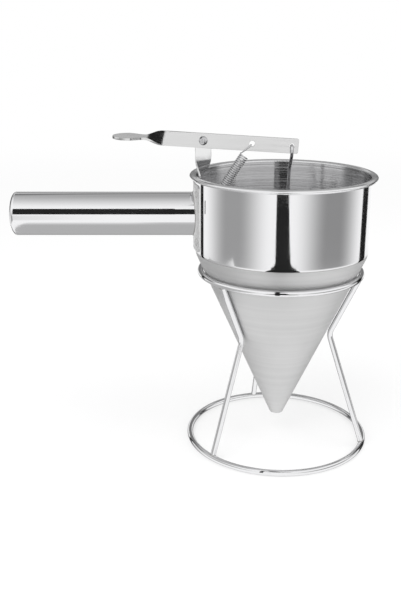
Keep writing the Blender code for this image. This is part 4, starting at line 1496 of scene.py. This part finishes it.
class FUNNEL_OT_spring(bpy.types.Operator):
    """Return spring with its two hooks"""

    bl_idname = "funnel.spring"
    bl_label = "Return spring"

    def execute(self, context):
        wires = sizes("funnel_wire")
        lever = sizes("funnel_lever")
        strap = sizes("funnel_bracket")
        wire_r = wires.spring_wire
        tongue_z = tongue_height()
        anchor = Vector((leg_x() + strap.tongue - strap.hole_inset, 0, tongue_z))
        arm = Vector((math.cos(lever.slope), 0, -math.sin(lever.slope)))
        hole = PIVOT + arm * lever.spring_arm
        line = (hole - anchor).normalized()
        left = line.cross(Vector((0, -1, 0))).normalized()
        if left.x > 0:
            left = -left
        front = line.cross(left).normalized()
        if front.y > 0:
            front = -front
        clear = wires.seat + wire_r
        front_y = hole.y - lever.thickness / 2 - clear
        back_y = hole.y + lever.thickness / 2 + clear
        seat = hole - line * (lever.spring_hole - wire_r - wires.seat)
        back = Vector((seat.x, back_y, seat.z))
        rise = Vector((seat.x, front_y, seat.z))
        coil_top = hole - line * wires.top_reach
        coil_end = anchor + line * wires.tail_reach
        start = coil_top + left * wires.coil
        low = Vector((start.x, front_y, start.z))
        hook = [back - line * wires.hook_leg]
        hook += corner(hook[0], back, rise, wires.hook_bend, 6)
        hook += corner(back, rise, low, wires.hook_bend, 6)
        hook += [rise.lerp(low, at) for at in (0.35, 0.65)]
        coil = []
        points_a_turn = 28
        count = wires.turns * points_a_turn
        for i in range(count + 1):
            at = 2 * math.pi * i / points_a_turn
            centre = coil_top.lerp(coil_end, i / count)
            coil.append(centre + (left * math.cos(at) + front * math.sin(at)) * wires.coil)
        hook_x = anchor.x + strap.hole - clear
        over = tongue_z + strap.thickness / 2 + clear
        under = tongue_z - strap.thickness / 2 - clear
        down = Vector((hook_x, 0, over + wires.hook_leg))
        turn_point = Vector((hook_x, 0, under))
        end = turn_point + Vector((wires.hook_leg, 0, 0))
        lower = [down] + corner(down, turn_point, end, wires.tail_bend, 6) + [end]
        spring = wire("coil_spring", hook + coil + lower, wire_r, 12)
        spring.data.materials.append(drawn_wire("spring_metal", sizes("funnel_finish").spring, 0.13))
        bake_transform(spring)
        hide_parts("return_spring")
        return {"FINISHED"}


class FUNNEL_OT_rod(bpy.types.Operator):
    """Hanging rod and its plug"""

    bl_idname = "funnel.rod"
    bl_label = "Rod and plug"

    def execute(self, context):
        wires = sizes("funnel_wire")
        lever = sizes("funnel_lever")
        size = sizes("funnel_plug")
        low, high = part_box("stopper_plug")
        bend = wires.rod + wires.seat + lever.thickness / 2
        down = Vector((0, 0, -1))
        back = ROD_EYE + Vector((0, bend, 0))
        front = ROD_EYE - Vector((0, bend, 0))
        tail = back + down * wires.rod_tail
        jog_top = front + down * wires.front_leg
        jog_end = Vector((ROD_EYE.x - wires.jog_side, 0, jog_top.z - wires.jog_length))
        entry = Vector((AXIS_X, 0, high.z + wires.rod))
        end = Vector((AXIS_X, 0, high.z - size.rod_depth))
        path = [tail]
        path += corner(tail, back, front, wires.rod_corner)
        path += corner(back, front, jog_top, wires.rod_corner)
        path += corner(front, jog_top, jog_end, wires.jog_corner)
        path += corner(jog_top, jog_end, entry, wires.jog_corner)
        path += [entry, end]
        rod = wire("hanging_rod", path, wires.rod, 20)
        bright = drawn_wire("rod_metal", (0.7, 0.7, 0.71), 0.14)
        dress(rod, "rod", "wire_steel", [bright], "stopper_rod")

        socket = wires.rod + wires.seat
        inset = sizes("funnel_body").sheet + wires.seat
        blunt = size.blunt
        taper_top = low.z + size.taper
        wide = cone_radius(taper_top, inset)
        small = cone_radius(low.z, inset)
        crown = arc((size.neck, taper_top), wide - size.neck, high.z - taper_top, math.pi / 2, 0, 16)
        floor_z = high.z - size.socket_depth
        outline = [(0, floor_z), (socket, floor_z), (socket, high.z)] + crown
        outline += [(cone_radius(low.z + blunt, inset), low.z + blunt), (small, low.z + 0.25 * blunt)]
        outline += [(small - blunt, low.z), (0, low.z)]
        plug = turn("plug", outline, 96, closed=False)
        move(plug, (AXIS_X, 0, 0))
        finish = rolled_sheet("plug_metal", (60, 60, 2200), 0.95)
        dress(plug, "rod", "satin_steel", [finish], "stopper_plug")
        return {"FINISHED"}


OPERATORS = (
    FUNNEL_OT_stage,
    FUNNEL_OT_body,
    FUNNEL_OT_handle,
    FUNNEL_OT_stand,
    FUNNEL_OT_lever,
    FUNNEL_OT_bracket,
    FUNNEL_OT_pivot,
    FUNNEL_OT_spring,
    FUNNEL_OT_rod,
)


class FUNNEL_PT_panel(bpy.types.Panel):
    """Lists the funnel's pieces"""

    bl_idname = "FUNNEL_PT_panel"
    bl_label = "Dispensing funnel"
    bl_space_type = "VIEW_3D"
    bl_region_type = "UI"
    bl_category = "Funnel"

    def draw(self, context):
        for operator in OPERATORS:
            self.layout.operator(operator.bl_idname)
        for group, kind in GROUPS.items():
            box = self.layout.box()
            for name in kind.__annotations__:
                box.prop(getattr(context.scene, group), name)


CLASSES = (*GROUPS.values(), *OPERATORS, FUNNEL_PT_panel)


def register():
    for kind in CLASSES:
        bpy.utils.register_class(kind)
    for name, kind in GROUPS.items():
        setattr(bpy.types.Scene, name, bpy.props.PointerProperty(type=kind))


def unregister():
    for name in GROUPS:
        delattr(bpy.types.Scene, name)
    for kind in reversed(CLASSES):
        bpy.utils.unregister_class(kind)


def main():
    register()
    for operator in OPERATORS:
        group, name = operator.bl_idname.split(".")
        getattr(getattr(bpy.ops, group), name)()


if __name__ == "__main__":
    main()
